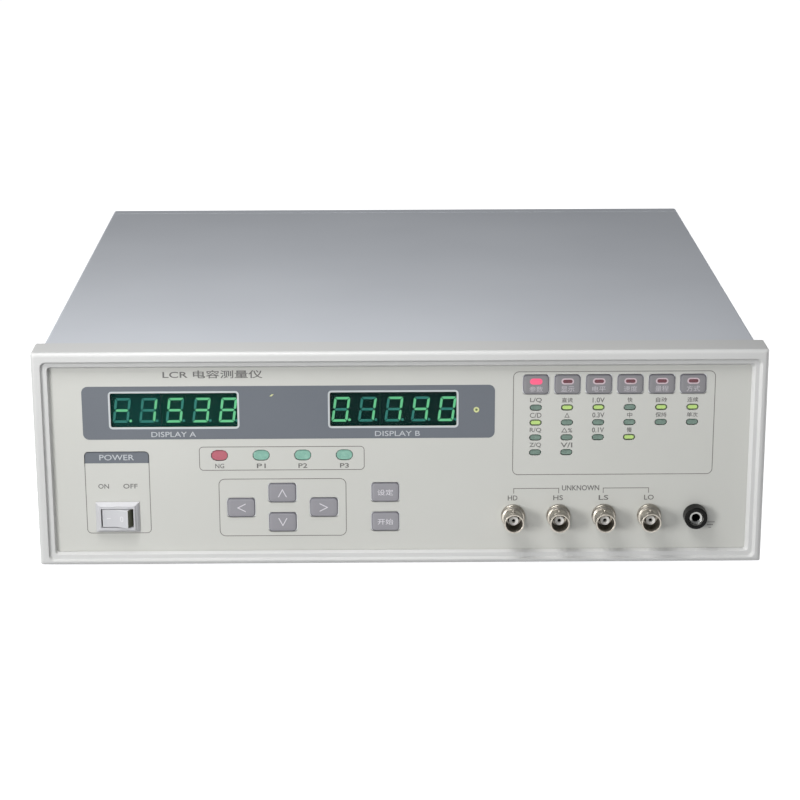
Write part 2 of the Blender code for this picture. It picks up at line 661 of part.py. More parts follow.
def make_earth_socket():
    bore_r, sleeve_r = 3.6 * MM, 3.3 * MM
    thread_r, tail = 4.2 * MM, 12 * MM
    turned(
        "ground_jack_body",
        [
            (bore_r, JACK_REACH),
            (5.0 * MM, JACK_REACH),
            (5.4 * MM, JACK_REACH - 0.4 * MM),
            (5.8 * MM, GAP),
            (thread_r, GAP),
            (thread_r, -tail),
            (bore_r, -tail),
        ],
        JACK_X,
        TERMINAL_Z,
        "black_plastic",
    )
    turned(
        "ground_jack_socket",
        [
            (0, -8 * MM),
            (2.0 * MM, -8 * MM),
            (2.0 * MM, JACK_REACH - 0.3 * MM),
            (sleeve_r, JACK_REACH - 0.3 * MM),
            (sleeve_r, -tail - 3 * MM),
            (0, -tail - 3 * MM),
        ],
        JACK_X,
        TERMINAL_Z,
        "connector_metal",
        closed=False,
    )
    nut_y = PLATE_Y + PLATE_T + GAP
    nut = [hexagon(JACK_X, TERMINAL_Z, 11 * MM), circle(JACK_X, TERMINAL_Z, thread_r + GAP)]
    slab("ground_jack_nut", nut, nut_y, nut_y + 2.5 * MM, "connector_metal")


# Power switch

def centred(middle, size):
    return (middle - size / 2, middle + size / 2)


def make_switch_housing():
    """A collar that slopes up from the film, on a body that passes through the panel."""
    top = FILM_Y - SWITCH_RISE
    collar = box(
        "switch_housing",
        centred(SWITCH_X, SWITCH_W),
        (top, FILM_Y - GAP),
        centred(SWITCH_Z, SWITCH_H),
        "switch_plastic",
    )
    front_corners = [v for v in collar.data.vertices if v.co.y < 0]
    for corner in front_corners:
        corner.co.x *= 1 - 2.2 * MM / (SWITCH_W / 2)
        corner.co.z *= 1 - 1.6 * MM / (SWITCH_H / 2)
    body = box(
        "switch_body",
        centred(SWITCH_X, SWITCH_BODY_W),
        (top + 1 * MM, top + 1 * MM + SWITCH_BODY_D),
        centred(SWITCH_Z, SWITCH_BODY_H),
        None,
    )
    well = box(
        "rocker_well",
        centred(SWITCH_X, ROCKER_WELL_W),
        (top - 1 * MM, top + ROCKER_WELL_D),
        centred(SWITCH_Z, ROCKER_WELL_H),
        None,
    )
    axle_hole = rod(
        "rocker_axle_hole",
        ROCKER_PIN_R + RUNNING_GAP,
        SWITCH_BODY_H + 2 * MM,
        (SWITCH_X, ROCKER_Y, SWITCH_Z),
        "Z",
    )
    cut_or_join(collar, body, "UNION")
    cut_or_join(collar, well, "DIFFERENCE")
    cut_or_join(collar, axle_hole, "DIFFERENCE")


def rocker_outline():
    """The rocker from above, about its axis, with the ON side pressed in. The two faces meet in a
    shallow V. Each skirt is an arc about the axis, so that it clears the well as it tips."""
    radius, slope = math.hypot(ROCKER_REACH, ROCKER_RISE), math.atan2(ROCKER_RISE, ROCKER_REACH)
    raised_slope = slope + 2 * ROCKER_TILT
    raised = (radius * math.cos(raised_slope), -radius * math.sin(raised_slope))
    apex = (-ROCKER_RISE * math.tan(ROCKER_TILT), -ROCKER_RISE)
    pressed = (-ROCKER_REACH, -ROCKER_RISE)
    front, back = math.radians(5), math.radians(25)
    right_skirt = arc(0, 0, ROCKER_R, back, -front - 2 * ROCKER_TILT, 5)
    left_skirt = arc(0, 0, ROCKER_R, front - math.pi, -math.pi - back, 3)
    return [*right_skirt, raised, apex, pressed, *left_skirt]


def make_rocker():
    rocker = as_mesh(
        prism(
            "switch_rocker",
            rocker_outline(),
            -ROCKER_H / 2,
            ROCKER_H / 2,
            "Z",
            "switch_plastic",
            (SWITCH_X, ROCKER_Y, SWITCH_Z),
        )
    )
    axle_length = SWITCH_BODY_H - 1 * MM
    centre = (SWITCH_X, ROCKER_Y, SWITCH_Z)
    cut_or_join(rocker, rod("rocker_axle", ROCKER_PIN_R, axle_length, centre, "Z"), "UNION")


# Feet

def make_front_foot(side, x):
    """A foot with a pocket below, where the tilt leg lies folded, and holes for the leg's pins."""
    y = (FRONT_FOOT_Y, FRONT_FOOT_Y + FRONT_FOOT_L)
    foot = box(
        f"front_foot_{side}",
        centred(x, FOOT_W),
        y,
        (-FOOT_DROP, SHELL_BOTTOM - GAP),
        "foot_plastic",
    )
    chamfer(foot, 0.8 * MM)
    pocket = box(
        f"leg_pocket_{side}",
        centred(x, FOOT_W - 2 * FOOT_WALL),
        (y[0] + FOOT_WALL, y[1] - FOOT_WALL),
        (-FOOT_DROP - 1 * MM, -1.5 * MM),
        None,
    )
    hole_r = LEG_PIN_R + RUNNING_GAP + 0.1 * MM
    pin_hole = rod(f"leg_pin_hole_{side}", hole_r, FOOT_W + 4 * MM, (x, LEG_Y, LEG_Z), "X")
    cut_or_join(foot, pocket, "DIFFERENCE")
    cut_or_join(foot, pin_hole, "DIFFERENCE")


def make_tilt_leg(side, x):
    """The leg turns on its pins near the front of the foot. Its origin is on that axis."""
    half = LEG_T / 2
    around = arc(0, 0, half, math.pi / 2, 3 * math.pi / 2, 6)
    tip = [(LEG_L, -half), (LEG_L, half)]
    leg = as_mesh(
        prism(
            f"tilt_leg_{side}",
            around + tip,
            -LEG_W / 2,
            LEG_W / 2,
            "X",
            "foot_plastic",
            (x, LEG_Y, LEG_Z),
        )
    )
    pins = rod(
        f"leg_pins_{side}", LEG_PIN_R, LEG_W + 2 * LEG_PIN_OUT, (x, LEG_Y, LEG_Z), "X"
    )
    cut_or_join(leg, pins, "UNION")


def make_feet():
    for side, x in (("left", -FOOT_X), ("right", FOOT_X)):
        make_front_foot(side, x)
        make_tilt_leg(side, x)
        foot = box(
            f"rear_foot_{side}",
            centred(x, FOOT_W),
            (REAR_FOOT_Y, REAR_FOOT_Y + REAR_FOOT_L),
            (-FOOT_DROP, SHELL_BOTTOM - GAP),
            "foot_plastic",
        )
        chamfer(foot, 0.8 * MM)


# Rear connectors

def make_power_inlet():
    """A mains inlet with a socket above and, below it, the drawer that holds the fuse."""
    plate_back = REAR_PLATE_Y + REAR_PLATE_T
    face = plate_back + GAP + INLET_FLANGE
    inlet = box(
        "power_inlet",
        centred(INLET_X, INLET_W),
        (plate_back + GAP, face),
        centred(INLET_Z, INLET_H),
        "black_plastic",
    )
    body = box(
        "inlet_body",
        centred(INLET_X, INLET_BODY_W),
        (face - INLET_BODY_D, face - 1 * MM),
        centred(INLET_Z, INLET_BODY_H),
        None,
    )
    cut_or_join(inlet, body, "UNION")
    socket_z = INLET_Z + SOCKET_UP
    socket = box(
        "socket_well",
        centred(INLET_X, SOCKET_W),
        (face - SOCKET_D, face + 1 * MM),
        centred(socket_z, SOCKET_H),
        None,
    )
    drawer_z = INLET_Z - DRAWER_DOWN
    slot = box(
        "drawer_slot",
        centred(INLET_X, DRAWER_W + 2 * RUNNING_GAP),
        (face - DRAWER_D - 1 * MM, face + 1 * MM),
        centred(drawer_z, DRAWER_H + 2 * RUNNING_GAP),
        None,
    )
    cut_or_join(inlet, socket, "DIFFERENCE")
    cut_or_join(inlet, slot, "DIFFERENCE")
    drawer = box(
        "fuse_drawer",
        centred(INLET_X, DRAWER_W),
        (face - DRAWER_D, face),
        centred(drawer_z, DRAWER_H),
        "black_plastic",
    )
    pull = box(
        "drawer_notch",
        centred(INLET_X, 6 * MM),
        (face - 1.2 * MM, face + 1 * MM),
        (drawer_z + DRAWER_H / 2 - 2 * MM, drawer_z + DRAWER_H / 2 + 1 * MM),
        None,
    )
    cut_or_join(drawer, pull, "DIFFERENCE")


def make_interface_port():
    """The socket for a sorting machine's lead: a flanged body with a hollow trapezoid shroud."""
    plate_back = REAR_PLATE_Y + REAR_PLATE_T
    shroud_w, shroud_h = PORT_W - 20 * MM, 9 * MM
    flange = box(
        "interface_port",
        centred(PORT_X, PORT_W),
        (plate_back + GAP, plate_back + GAP + 1.5 * MM),
        centred(PORT_Z, PORT_H),
        "connector_metal",
    )
    body = box(
        "port_body",
        centred(PORT_X, PORT_W - 14 * MM),
        (REAR_PLATE_Y - 9 * MM, plate_back + 1 * MM),
        centred(PORT_Z, 11 * MM),
        None,
    )
    shroud = box(
        "port_shroud",
        centred(PORT_X, shroud_w),
        (plate_back + 1 * MM, plate_back + SHROUD_OUT),
        centred(PORT_Z, shroud_h),
        None,
    )
    well = box(
        "port_well",
        centred(PORT_X, shroud_w - 2.4 * MM),
        (plate_back - 3 * MM, plate_back + SHROUD_OUT + 1 * MM),
        centred(PORT_Z, shroud_h - 2.4 * MM),
        None,
    )
    cut_or_join(flange, body, "UNION")
    cut_or_join(flange, shroud, "UNION")
    cut_or_join(flange, well, "DIFFERENCE")


# Inside

def make_insides():
    floor = SHELL_BOTTOM + SHELL_T
    box("main_board", (-60 * MM, 150 * MM), (40 * MM, 240 * MM), (floor + 8 * MM, floor + 9.6 * MM),
        "circuit_board")
    board_top = floor + 9.6 * MM + GAP
    box("shield_can", (40 * MM, 135 * MM), (48 * MM, 118 * MM), (board_top, board_top + 18 * MM),
        "panel_metal")
    core_x, core_y = (-150 * MM, -84 * MM), (150 * MM, 205 * MM)
    core = box("transformer_core", core_x, core_y, (floor + GAP, floor + 46 * MM), "core_steel")
    slot_x, slot_z = (-140 * MM, -94 * MM), (floor + 9 * MM, floor + 37 * MM)
    middle_x = (-123 * MM, -111 * MM)
    windows = [
        ((slot_x[0], middle_x[0]), (140 * MM, 215 * MM), slot_z),
        ((middle_x[1], slot_x[1]), (140 * MM, 215 * MM), slot_z),
    ]
    cut_or_join(core, boxes("core_windows", windows, None), "DIFFERENCE")
    coil = box(
        "transformer_coil",
        (slot_x[0] + GAP, slot_x[1] - GAP),
        (core_y[0] - 9 * MM, core_y[1] + 9 * MM),
        (slot_z[0] + GAP, slot_z[1] - GAP),
        "winding_tape",
    )
    limb = box(
        "coil_limb",
        (middle_x[0] - GAP, middle_x[1] + GAP),
        (core_y[0] - GAP, core_y[1] + GAP),
        (slot_z[0] - 5 * MM, slot_z[1] + 5 * MM),
        None,
    )
    cut_or_join(coil, limb, "DIFFERENCE")


make_bezel()
make_shell()
make_rear()
make_film()
make_plate()
make_keys()
make_displays()
make_leds()
make_display_board()
for terminal_name, terminal_x in zip(TERMINALS, TERMINAL_X):
    make_terminal(terminal_name, terminal_x)
make_earth_socket()
make_switch_housing()
make_rocker()
make_feet()
make_power_inlet()
make_interface_port()
make_insides()
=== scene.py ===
"""Looks of the bench LCR meter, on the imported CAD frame.

Sizes are case coordinates in metres: X to the right, Y backwards from the bezel's front face, Z up from
the bezel's lower edge. Meshes are made in those coordinates and then moved to the row frame once.
"""

import math

import bmesh
import bpy
from mathutils import Matrix, Vector


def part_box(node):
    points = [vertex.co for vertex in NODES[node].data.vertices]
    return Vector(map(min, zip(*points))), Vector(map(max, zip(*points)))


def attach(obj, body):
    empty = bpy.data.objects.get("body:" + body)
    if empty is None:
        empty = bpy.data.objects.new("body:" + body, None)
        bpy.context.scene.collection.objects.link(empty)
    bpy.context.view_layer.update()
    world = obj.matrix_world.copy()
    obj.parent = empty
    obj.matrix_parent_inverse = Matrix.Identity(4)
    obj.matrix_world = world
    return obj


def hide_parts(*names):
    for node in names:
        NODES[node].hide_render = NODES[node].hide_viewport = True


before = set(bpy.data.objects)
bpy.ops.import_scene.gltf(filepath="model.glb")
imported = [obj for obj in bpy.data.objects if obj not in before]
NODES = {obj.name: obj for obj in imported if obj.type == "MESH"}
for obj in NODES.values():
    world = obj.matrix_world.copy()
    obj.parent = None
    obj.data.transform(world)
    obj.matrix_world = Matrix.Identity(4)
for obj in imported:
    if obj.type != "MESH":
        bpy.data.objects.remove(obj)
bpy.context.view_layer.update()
MM = 0.001

BEZEL_LOW, BEZEL_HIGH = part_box("front_bezel")
CASE_ORIGIN = Matrix.Translation((0, BEZEL_LOW.y, BEZEL_LOW.z))
CASE_W = BEZEL_HIGH.x - BEZEL_LOW.x
CASE_H = BEZEL_HIGH.z - BEZEL_LOW.z
BEZEL_D = BEZEL_HIGH.y - BEZEL_LOW.y
FILM_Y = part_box("panel_overlay")[0].y - BEZEL_LOW.y
INK_PROUD, INK_SUNK = 0.03 * MM, 0.02 * MM  # how far ink stands before its face and reaches into it
INK_Y = FILM_Y - INK_PROUD  # the front of the ink on the film
FACE_UP = Matrix.Rotation(math.pi / 2, 4, "X")  # turns a drawing in X, Y to face the front

TERMINALS = ["high_drive", "high_sense", "low_sense", "low_drive"]
TERMINAL_X = [54.4 * MM + 22 * MM * i for i in range(4)]
TERMINAL_Z, JACK_X = 23.0 * MM, 142.7 * MM
WINDOW_X = {"a": -108.2 * MM, "b": -3.4 * MM}
WINDOW_Z, WINDOW_W, WINDOW_H, WINDOW_R = 77.4 * MM, 62.4 * MM, 18.8 * MM, 1.8 * MM
FUNCTION_X = [64.75 * MM + 15 * MM * i for i in range(6)]
FUNCTION_KEYS = ["parameter", "display", "level", "speed", "range", "mode"]
FUNCTION_KEY_Z, STATUS_ROW_Z, STATUS_PITCH = 89.3 * MM, 77.7 * MM, 7.5 * MM
BIN_X = [(-87 + 20 * i) * MM for i in range(4)]
SWITCH_X, SWITCH_Z, ROCKER_Y = -136.9 * MM, 23.6 * MM, 5.6 * MM
ROCKER_R, ROCKER_REACH, ROCKER_RISE, ROCKER_TILT = 7.5 * MM, 7.15 * MM, 4.1 * MM, math.radians(10)


# Outlines: lists of (across, up) points

def arc(cx, cz, radius, start, end, steps):
    angles = [start + (end - start) * i / steps for i in range(steps + 1)]
    return [(cx + radius * math.cos(a), cz + radius * math.sin(a)) for a in angles]


def rounded_rect(cx, cz, width, height, radius, steps=6):
    points = []
    for quarter, (sx, sz) in enumerate([(1, 1), (-1, 1), (-1, -1), (1, -1)]):
        corner = (cx + sx * (width / 2 - radius), cz + sz * (height / 2 - radius))
        start = quarter * math.pi / 2
        points += arc(*corner, radius, start, start + math.pi / 2, steps)
    return points


def stadium(cx, cz, width, height, steps=10):
    reach = (width - height) / 2
    right = arc(cx + reach, cz, height / 2, -math.pi / 2, math.pi / 2, steps)
    left = arc(cx - reach, cz, height / 2, math.pi / 2, 3 * math.pi / 2, steps)
    return right + left


def circle(cx, cz, radius, steps=32):
    return arc(cx, cz, radius, 0, 2 * math.pi, steps)[:-1]


def chevron(cx, cz, angle, length, spread, thickness):
    """The outline of an arrowhead stroke that points along angle."""
    corner = thickness / math.sin(math.atan2(spread / 2, length))
    slant = thickness / math.cos(math.atan2(spread / 2, length))
    half = spread / 2
    points = [(length / 2, 0), (-length / 2, half), (-length / 2, half - slant)]
    points += [(length / 2 - corner, 0), (-length / 2, slant - half), (-length / 2, -half)]
    turn = Matrix.Rotation(angle, 2)
    return [(cx + p.x, cz + p.y) for p in (turn @ Vector(point) for point in points)]


# Meshes, in case coordinates

def evaluated_mesh(obj):
    """The mesh of a temporary object with its modifiers applied. The object is removed."""
    bpy.context.scene.collection.objects.link(obj)
    bpy.context.view_layer.update()
    graph = bpy.context.evaluated_depsgraph_get()
    mesh = bpy.data.meshes.new_from_object(obj.evaluated_get(graph))
    bpy.data.objects.remove(obj)
    return mesh


def outline_mesh(outlines, thickness, edge=0.0, edge_steps=2):
    """A slab in the XY plane. Outlines inside the first are holes; edge rounds its rims."""
    curve = bpy.data.curves.new("outline", "CURVE")
    curve.dimensions = "2D"
    curve.fill_mode = "BOTH"
    curve.extrude = max(thickness / 2 - edge, 0)
    curve.bevel_depth = edge
    curve.bevel_resolution = edge_steps
    curve.offset = -edge
    for points in outlines:
        spline = curve.splines.new("POLY")
        spline.points.add(len(points) - 1)
        spline.use_cyclic_u = True
        for point, (across, up) in zip(spline.points, points):
            point.co = (across, up, 0, 1)
    mesh = evaluated_mesh(bpy.data.objects.new("outline", curve))
    body = bmesh.new()
    body.from_mesh(mesh)
    bmesh.ops.remove_doubles(body, verts=body.verts, dist=1e-7)
    body.to_mesh(mesh)
    body.free()
    return mesh


def slab(outlines, front, back, edge=0.0, edge_steps=2):
    """A slab that faces the front, between two depths."""
    mesh = outline_mesh(outlines, back - front, edge, edge_steps)
    mesh.transform(Matrix.Translation((0, (front + back) / 2, 0)) @ FACE_UP)
    return mesh


def mesh_from(points, faces):
    mesh = bpy.data.meshes.new("made")
    mesh.from_pydata([tuple(p) for p in points], [], faces)
    body = bmesh.new()
    body.from_mesh(mesh)
    bmesh.ops.remove_doubles(body, verts=body.verts, dist=1e-7)
    bmesh.ops.recalc_face_normals(body, faces=body.faces)
    body.to_mesh(mesh)
    body.free()
    return mesh


def loft(loops, ring=False, cap_first=False, cap_last=False):
    """Quads between loops of equal length. A ring also joins the last loop to the first."""
    count = len(loops[0])
    points = [point for loop in loops for point in loop]
    faces = []
    bands = len(loops) if ring else len(loops) - 1
    for i in range(bands):
        here, there = i * count, (i + 1) % len(loops) * count
        for j in range(count):
            k = (j + 1) % count
            faces.append((here + j, here + k, there + k, there + j))
    if cap_first:
        faces.append(tuple(range(count)))
    if cap_last:
        faces.append(tuple(range(len(points) - count, len(points))))
    return mesh_from(points, faces)


def turned(profile, x, z, steps=64, ring=True):
    """A shape turned about the Y axis through x, z. The profile is (radius, height before the film),
    and a profile that starts and ends on the axis isn't a ring."""
    loops = [
        [(x + dx, FILM_Y - height, z + dz) for dx, dz in circle(0, 0, max(radius, 1e-9), steps)]
        for radius, height in profile
    ]
    return loft(loops, ring=ring)


def split_faces(mesh, chosen):
    """Moves the chosen faces of a mesh into a new mesh."""
    other = mesh.copy()
    for target, keep in ((mesh, False), (other, True)):
        body = bmesh.new()
        body.from_mesh(target)
        body.faces.ensure_lookup_table()
        unwanted = [face for face in body.faces if (face.index in chosen) != keep]
        bmesh.ops.delete(body, geom=unwanted, context="FACES")
        body.to_mesh(target)
        body.free()
    return other


def box_mesh(low, high, edge=0.0, edge_steps=2):
    body = bmesh.new()
    bmesh.ops.create_cube(body, size=1)
    size = [b - a for a, b in zip(low, high)]
    bmesh.ops.scale(body, vec=size, verts=body.verts)
    bmesh.ops.translate(body, vec=[(a + b) / 2 for a, b in zip(low, high)], verts=body.verts)
    if edge:
        bmesh.ops.bevel(
            body, geom=body.edges[:], offset=edge, segments=edge_steps, affect="EDGES", profile=0.5
        )
    mesh = bpy.data.meshes.new("box")
    body.to_mesh(mesh)
    body.free()
    return mesh


def lettering(body, x, z, height, width, face=FILM_Y, weight=0.0):
    """Text printed on a face, centred on x, z and scaled to that height and width."""
    half_depth = 0.02
    curve = bpy.data.curves.new("lettering", "FONT")
    curve.body = body
    curve.extrude = half_depth
    curve.offset = weight
    curve.resolution_u = 3
    mesh = evaluated_mesh(bpy.data.objects.new("lettering", curve))
    low = [min(v.co[i] for v in mesh.vertices) for i in range(2)]
    high = [max(v.co[i] for v in mesh.vertices) for i in range(2)]
    scale_x, scale_z = width / (high[0] - low[0]), height / (high[1] - low[1])
    mesh.transform(Matrix.Translation((-(low[0] + high[0]) / 2, -(low[1] + high[1]) / 2, 0)))
    mesh.transform(Matrix.Diagonal((scale_x, scale_z, INK_PROUD / (2 * half_depth), 1)))
    mesh.transform(Matrix.Translation((x, face - INK_PROUD / 2, z)) @ FACE_UP)
    return mesh


def piece(name, parts, body="case", stands_for=(), angle=35):
    """One object made of (mesh, material) parts. It rides on a body and may replace CAD nodes."""
    joined = bmesh.new()
    materials = []
    for mesh, material in parts:
        if material not in materials:
            materials.append(material)
        mesh.materials.clear()
        index = materials.index(material)
        mesh.polygons.foreach_set("material_index", [index] * len(mesh.polygons))
        joined.from_mesh(mesh)
        bpy.data.meshes.remove(mesh)
    mesh = bpy.data.meshes.new(name)
    joined.to_mesh(mesh)
    joined.free()
    mesh.transform(CASE_ORIGIN)
    for material in materials:
        mesh.materials.append(material)
    mesh.shade_smooth()
    mesh.set_sharp_from_angle(angle=math.radians(angle))
    obj = bpy.data.objects.new(name, mesh)
    bpy.context.scene.collection.objects.link(obj)
    even_normals(obj)
    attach(obj, body)
    if stands_for:
        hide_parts(*stands_for)
    return obj


# Materials

FINE_SHARE = 0.35  # the part of a finish's change of colour that comes from its fine grain


def surface(
    name, dark, light, roughness, grain=2500, relief=0.15, blotch=12, metallic=0.0, coat=0.0, spread=0.06,
    emission=None, strength=0.0, alpha=1.0, stretch=(1, 1, 1), shine=0.5,
):
    """A finish whose colour drifts between dark and light in broad patches and fine grain. The grain also
    roughens and dents it."""
    material = bpy.data.materials.new(name)
    material.use_nodes = True
    nodes, links = material.node_tree.nodes, material.node_tree.links
    shader = nodes["Principled BSDF"]
    where = nodes.new("ShaderNodeTexCoord")
    mapping = nodes.new("ShaderNodeMapping")
    mapping.inputs["Scale"].default_value = stretch
    links.new(where.outputs["Object"], mapping.inputs["Vector"])
    fine = nodes.new("ShaderNodeTexNoise")
    fine.inputs["Scale"].default_value = grain
    fine.inputs["Detail"].default_value = 3
    broad = nodes.new("ShaderNodeTexNoise")
    broad.inputs["Scale"].default_value = blotch
    broad.inputs["Detail"].default_value = 2
    for noise in (fine, broad):
        links.new(mapping.outputs["Vector"], noise.inputs["Vector"])
    mix = nodes.new("ShaderNodeMath")
    mix.operation = "MULTIPLY_ADD"
    mix.inputs[1].default_value = FINE_SHARE
    links.new(fine.outputs["Fac"], mix.inputs[0])
    share = nodes.new("ShaderNodeMath")
    share.operation = "MULTIPLY"
    share.inputs[1].default_value = 1 - FINE_SHARE
    links.new(broad.outputs["Fac"], share.inputs[0])
    links.new(share.outputs["Value"], mix.inputs[2])
    ramp = nodes.new("ShaderNodeValToRGB")
    ramp.color_ramp.elements[0].position = 0.3
    ramp.color_ramp.elements[1].position = 0.7
    ramp.color_ramp.elements[0].color = (*dark, 1)
    ramp.color_ramp.elements[1].color = (*light, 1)
    links.new(mix.outputs["Value"], ramp.inputs["Fac"])
    links.new(ramp.outputs["Color"], shader.inputs["Base Color"])
    gloss = nodes.new("ShaderNodeMapRange")
    gloss.inputs["To Min"].default_value = roughness - spread
    gloss.inputs["To Max"].default_value = roughness + spread
    links.new(fine.outputs["Fac"], gloss.inputs["Value"])
    links.new(gloss.outputs["Result"], shader.inputs["Roughness"])
    dents = nodes.new("ShaderNodeBump")
    dents.inputs["Strength"].default_value = relief
    dents.inputs["Distance"].default_value = 0.05 * MM
    links.new(fine.outputs["Fac"], dents.inputs["Height"])
    links.new(dents.outputs["Normal"], shader.inputs["Normal"])
    shader.inputs["Metallic"].default_value = metallic
    shader.inputs["Specular IOR Level"].default_value = shine
    shader.inputs["Coat Weight"].default_value = coat
    shader.inputs["Coat Roughness"].default_value = 0.08
    shader.inputs["Alpha"].default_value = alpha
    if emission:
        shader.inputs["Emission Color"].default_value = (*emission, 1)
        shader.inputs["Emission Strength"].default_value = strength
    return material


def make_finishes():
    """The finishes by name. Colours are linear."""
    return {
        "bezel": surface("bezel_moulding", (0.55, 0.55, 0.54), (0.585, 0.585, 0.575), 0.42, relief=0.2),
        "film": surface("panel_film_print", (0.53, 0.53, 0.495), (0.565, 0.565, 0.53), 0.42, grain=3500),
        "paint": surface("case_powder_coat", (0.53, 0.55, 0.585), (0.57, 0.59, 0.625), 0.42, grain=1800,
                         relief=0.35),
        "band": surface("dark_grey_ink", (0.105, 0.118, 0.138), (0.125, 0.138, 0.158), 0.4, grain=3500,
                        relief=0.1),
        "ink": surface("grey_line_ink", (0.15, 0.14, 0.13), (0.19, 0.18, 0.17), 0.5, grain=5000),
        "word_ink": surface("grey_word_ink", (0.11, 0.105, 0.10), (0.15, 0.145, 0.14), 0.5, grain=5000),
        "white_ink": surface("white_ink", (0.47, 0.50, 0.51), (0.53, 0.56, 0.57), 0.45, grain=5000),
        "pale_ink": surface("pale_ink", (0.42, 0.44, 0.46), (0.48, 0.50, 0.52), 0.45, grain=5000),
        "key": surface("key_film", (0.24, 0.235, 0.255), (0.28, 0.275, 0.295), 0.38, grain=3000),
        "function_key": surface("function_key_film", (0.20, 0.195, 0.205), (0.23, 0.225, 0.235), 0.38,
                                grain=3000),
        "key_rim": surface("key_rim_ink", (0.12, 0.12, 0.14), (0.16, 0.155, 0.175), 0.45, grain=3000),
        "key_legend": surface("key_legend_ink", (0.62, 0.60, 0.64), (0.70, 0.68, 0.72), 0.45),
        "soft_legend": surface("soft_legend_ink", (0.44, 0.42, 0.45), (0.52, 0.50, 0.53), 0.45),
        "switch": surface("switch_moulding", (0.49, 0.49, 0.505), (0.53, 0.53, 0.545), 0.32, relief=0.1),
        "rocker_ink": surface("rocker_mark_ink", (0.62, 0.62, 0.63), (0.69, 0.69, 0.70), 0.45, grain=5000),
        # The flank's dark olive is partly painted shade: it darkens the raised end's side that faces away
        # from the light.
        "rocker_flank_painted_shade": surface("rocker_flank_painted_shade", (0.075, 0.08, 0.05), (0.11, 0.115, 0.075), 0.4, relief=0.1),
        "nickel": surface("nickel_plate", (0.29, 0.268, 0.233), (0.45, 0.42, 0.37), 0.34, grain=900,
                          relief=0.1, metallic=1.0, blotch=260, spread=0.08),
        "chrome": surface("bright_contact", (0.26, 0.26, 0.25), (0.40, 0.40, 0.39), 0.24, grain=900,
                          relief=0.05, metallic=1.0, spread=0.04),
        # Near-black contacts are painted shade: they stand in for the dark deep inside the sockets' holes and
        # the interface port.
        "contact": surface("contact_painted_shade", (0.010, 0.008, 0.006), (0.025, 0.020, 0.014), 0.4, shine=0.1),
        "insulator": surface("white_insulator", (0.86, 0.85, 0.82), (0.92, 0.91, 0.88), 0.4),
        "black": surface("black_moulding", (0.012, 0.012, 0.012), (0.03, 0.03, 0.03), 0.3, relief=0.2),
        "gloss_black": surface("gloss_black_moulding", (0.003, 0.003, 0.003), (0.008, 0.008, 0.007), 0.25,
                               relief=0.1, spread=0.05, shine=0.1),
        "pane": surface("tinted_pane", (0.001, 0.024, 0.020), (0.002, 0.030, 0.026), 0.10, relief=0.02,
                        alpha=0.3, spread=0.03, shine=0.1),
        "module_a": surface("module_face_green", (0.002, 0.066, 0.054), (0.004, 0.084, 0.069), 0.4,
                            shine=0.1),
        "module_b": surface("module_face_teal", (0.001, 0.052, 0.034), (0.002, 0.066, 0.043), 0.4,
                            shine=0.1),
        "module_c": surface("module_face_dark", (0.001, 0.014, 0.012), (0.002, 0.022, 0.018), 0.4,
                            shine=0.1),
        "segment_on": surface("lit_segment", (0.14, 0.54, 0.25), (0.18, 0.64, 0.30), 0.4,
                              emission=(0.22, 0.90, 0.42), strength=0.95),
        # The unlit segments carry a painted glow: their emission lifts them to a pale teal behind the pane,
        # though no lamp lights them.
        "segment_off_painted_glow": surface("unlit_segment", (0.05, 0.31, 0.25), (0.065, 0.38, 0.30), 0.4,
                               emission=(0.02, 0.19, 0.155), strength=0.9),
        "lamp_red": surface("red_lamp", (0.35, 0.06, 0.095), (0.46, 0.095, 0.13), 0.3, coat=0.4),
        "lamp_mint": surface("mint_lamp", (0.14, 0.34, 0.265), (0.235, 0.455, 0.36), 0.3, coat=0.4,
                             blotch=500),
        "lamp_off": surface("dark_green_lamp", (0.095, 0.155, 0.125), (0.15, 0.24, 0.19), 0.3, coat=0.4,
                            blotch=700),
        "lamp_on": surface("lit_green_lamp", (0.36, 0.52, 0.15), (0.42, 0.58, 0.19), 0.35,
                           emission=(0.45, 0.70, 0.15), strength=0.16),
        "lamp_rim": surface("lamp_rim", (0.07, 0.11, 0.04), (0.11, 0.15, 0.06), 0.4),
        "lamp_halo": surface("lamp_halo", (0.52, 0.40, 0.44), (0.64, 0.52, 0.56), 0.4, blotch=900),
        "key_lamp_on": surface("lit_red_lamp", (0.66, 0.07, 0.15), (0.76, 0.09, 0.18), 0.35,
                               emission=(0.95, 0.13, 0.28), strength=0.3),
        "key_lamp_off": surface("dark_red_lamp", (0.06, 0.008, 0.014), (0.14, 0.012, 0.03), 0.3, coat=0.4,
                                blotch=900),
        "amber": surface("amber_lamp", (0.55, 0.58, 0.25), (0.68, 0.70, 0.35), 0.35),
        "aluminium": surface("panel_sheet", (0.60, 0.61, 0.62), (0.68, 0.69, 0.70), 0.35, metallic=1.0,
                             grain=1200, stretch=(1, 12, 12)),
        "board": surface("circuit_board", (0.02, 0.13, 0.06), (0.03, 0.18, 0.08), 0.4, blotch=200),
        "core": surface("varnished_core", (0.16, 0.15, 0.14), (0.26, 0.25, 0.24), 0.4, metallic=0.8,
                        stretch=(1, 30, 1)),
        "tape": surface("winding_tape", (0.60, 0.42, 0.08), (0.70, 0.52, 0.12), 0.4),
        "rubber": surface("foot_moulding", (0.025, 0.025, 0.027), (0.045, 0.045, 0.048), 0.6, relief=0.4),
        "steel": surface("zinc_screw", (0.50, 0.50, 0.48), (0.66, 0.66, 0.64), 0.3, metallic=1.0,
                         grain=1500),
    }


FINISH = make_finishes()


def even_normals(obj):
    """Keeps broad faces flat and leaves the shading to turn at the rounded edges."""
    weighted = obj.modifiers.new("even_normals", "WEIGHTED_NORMAL")
    weighted.keep_sharp = True


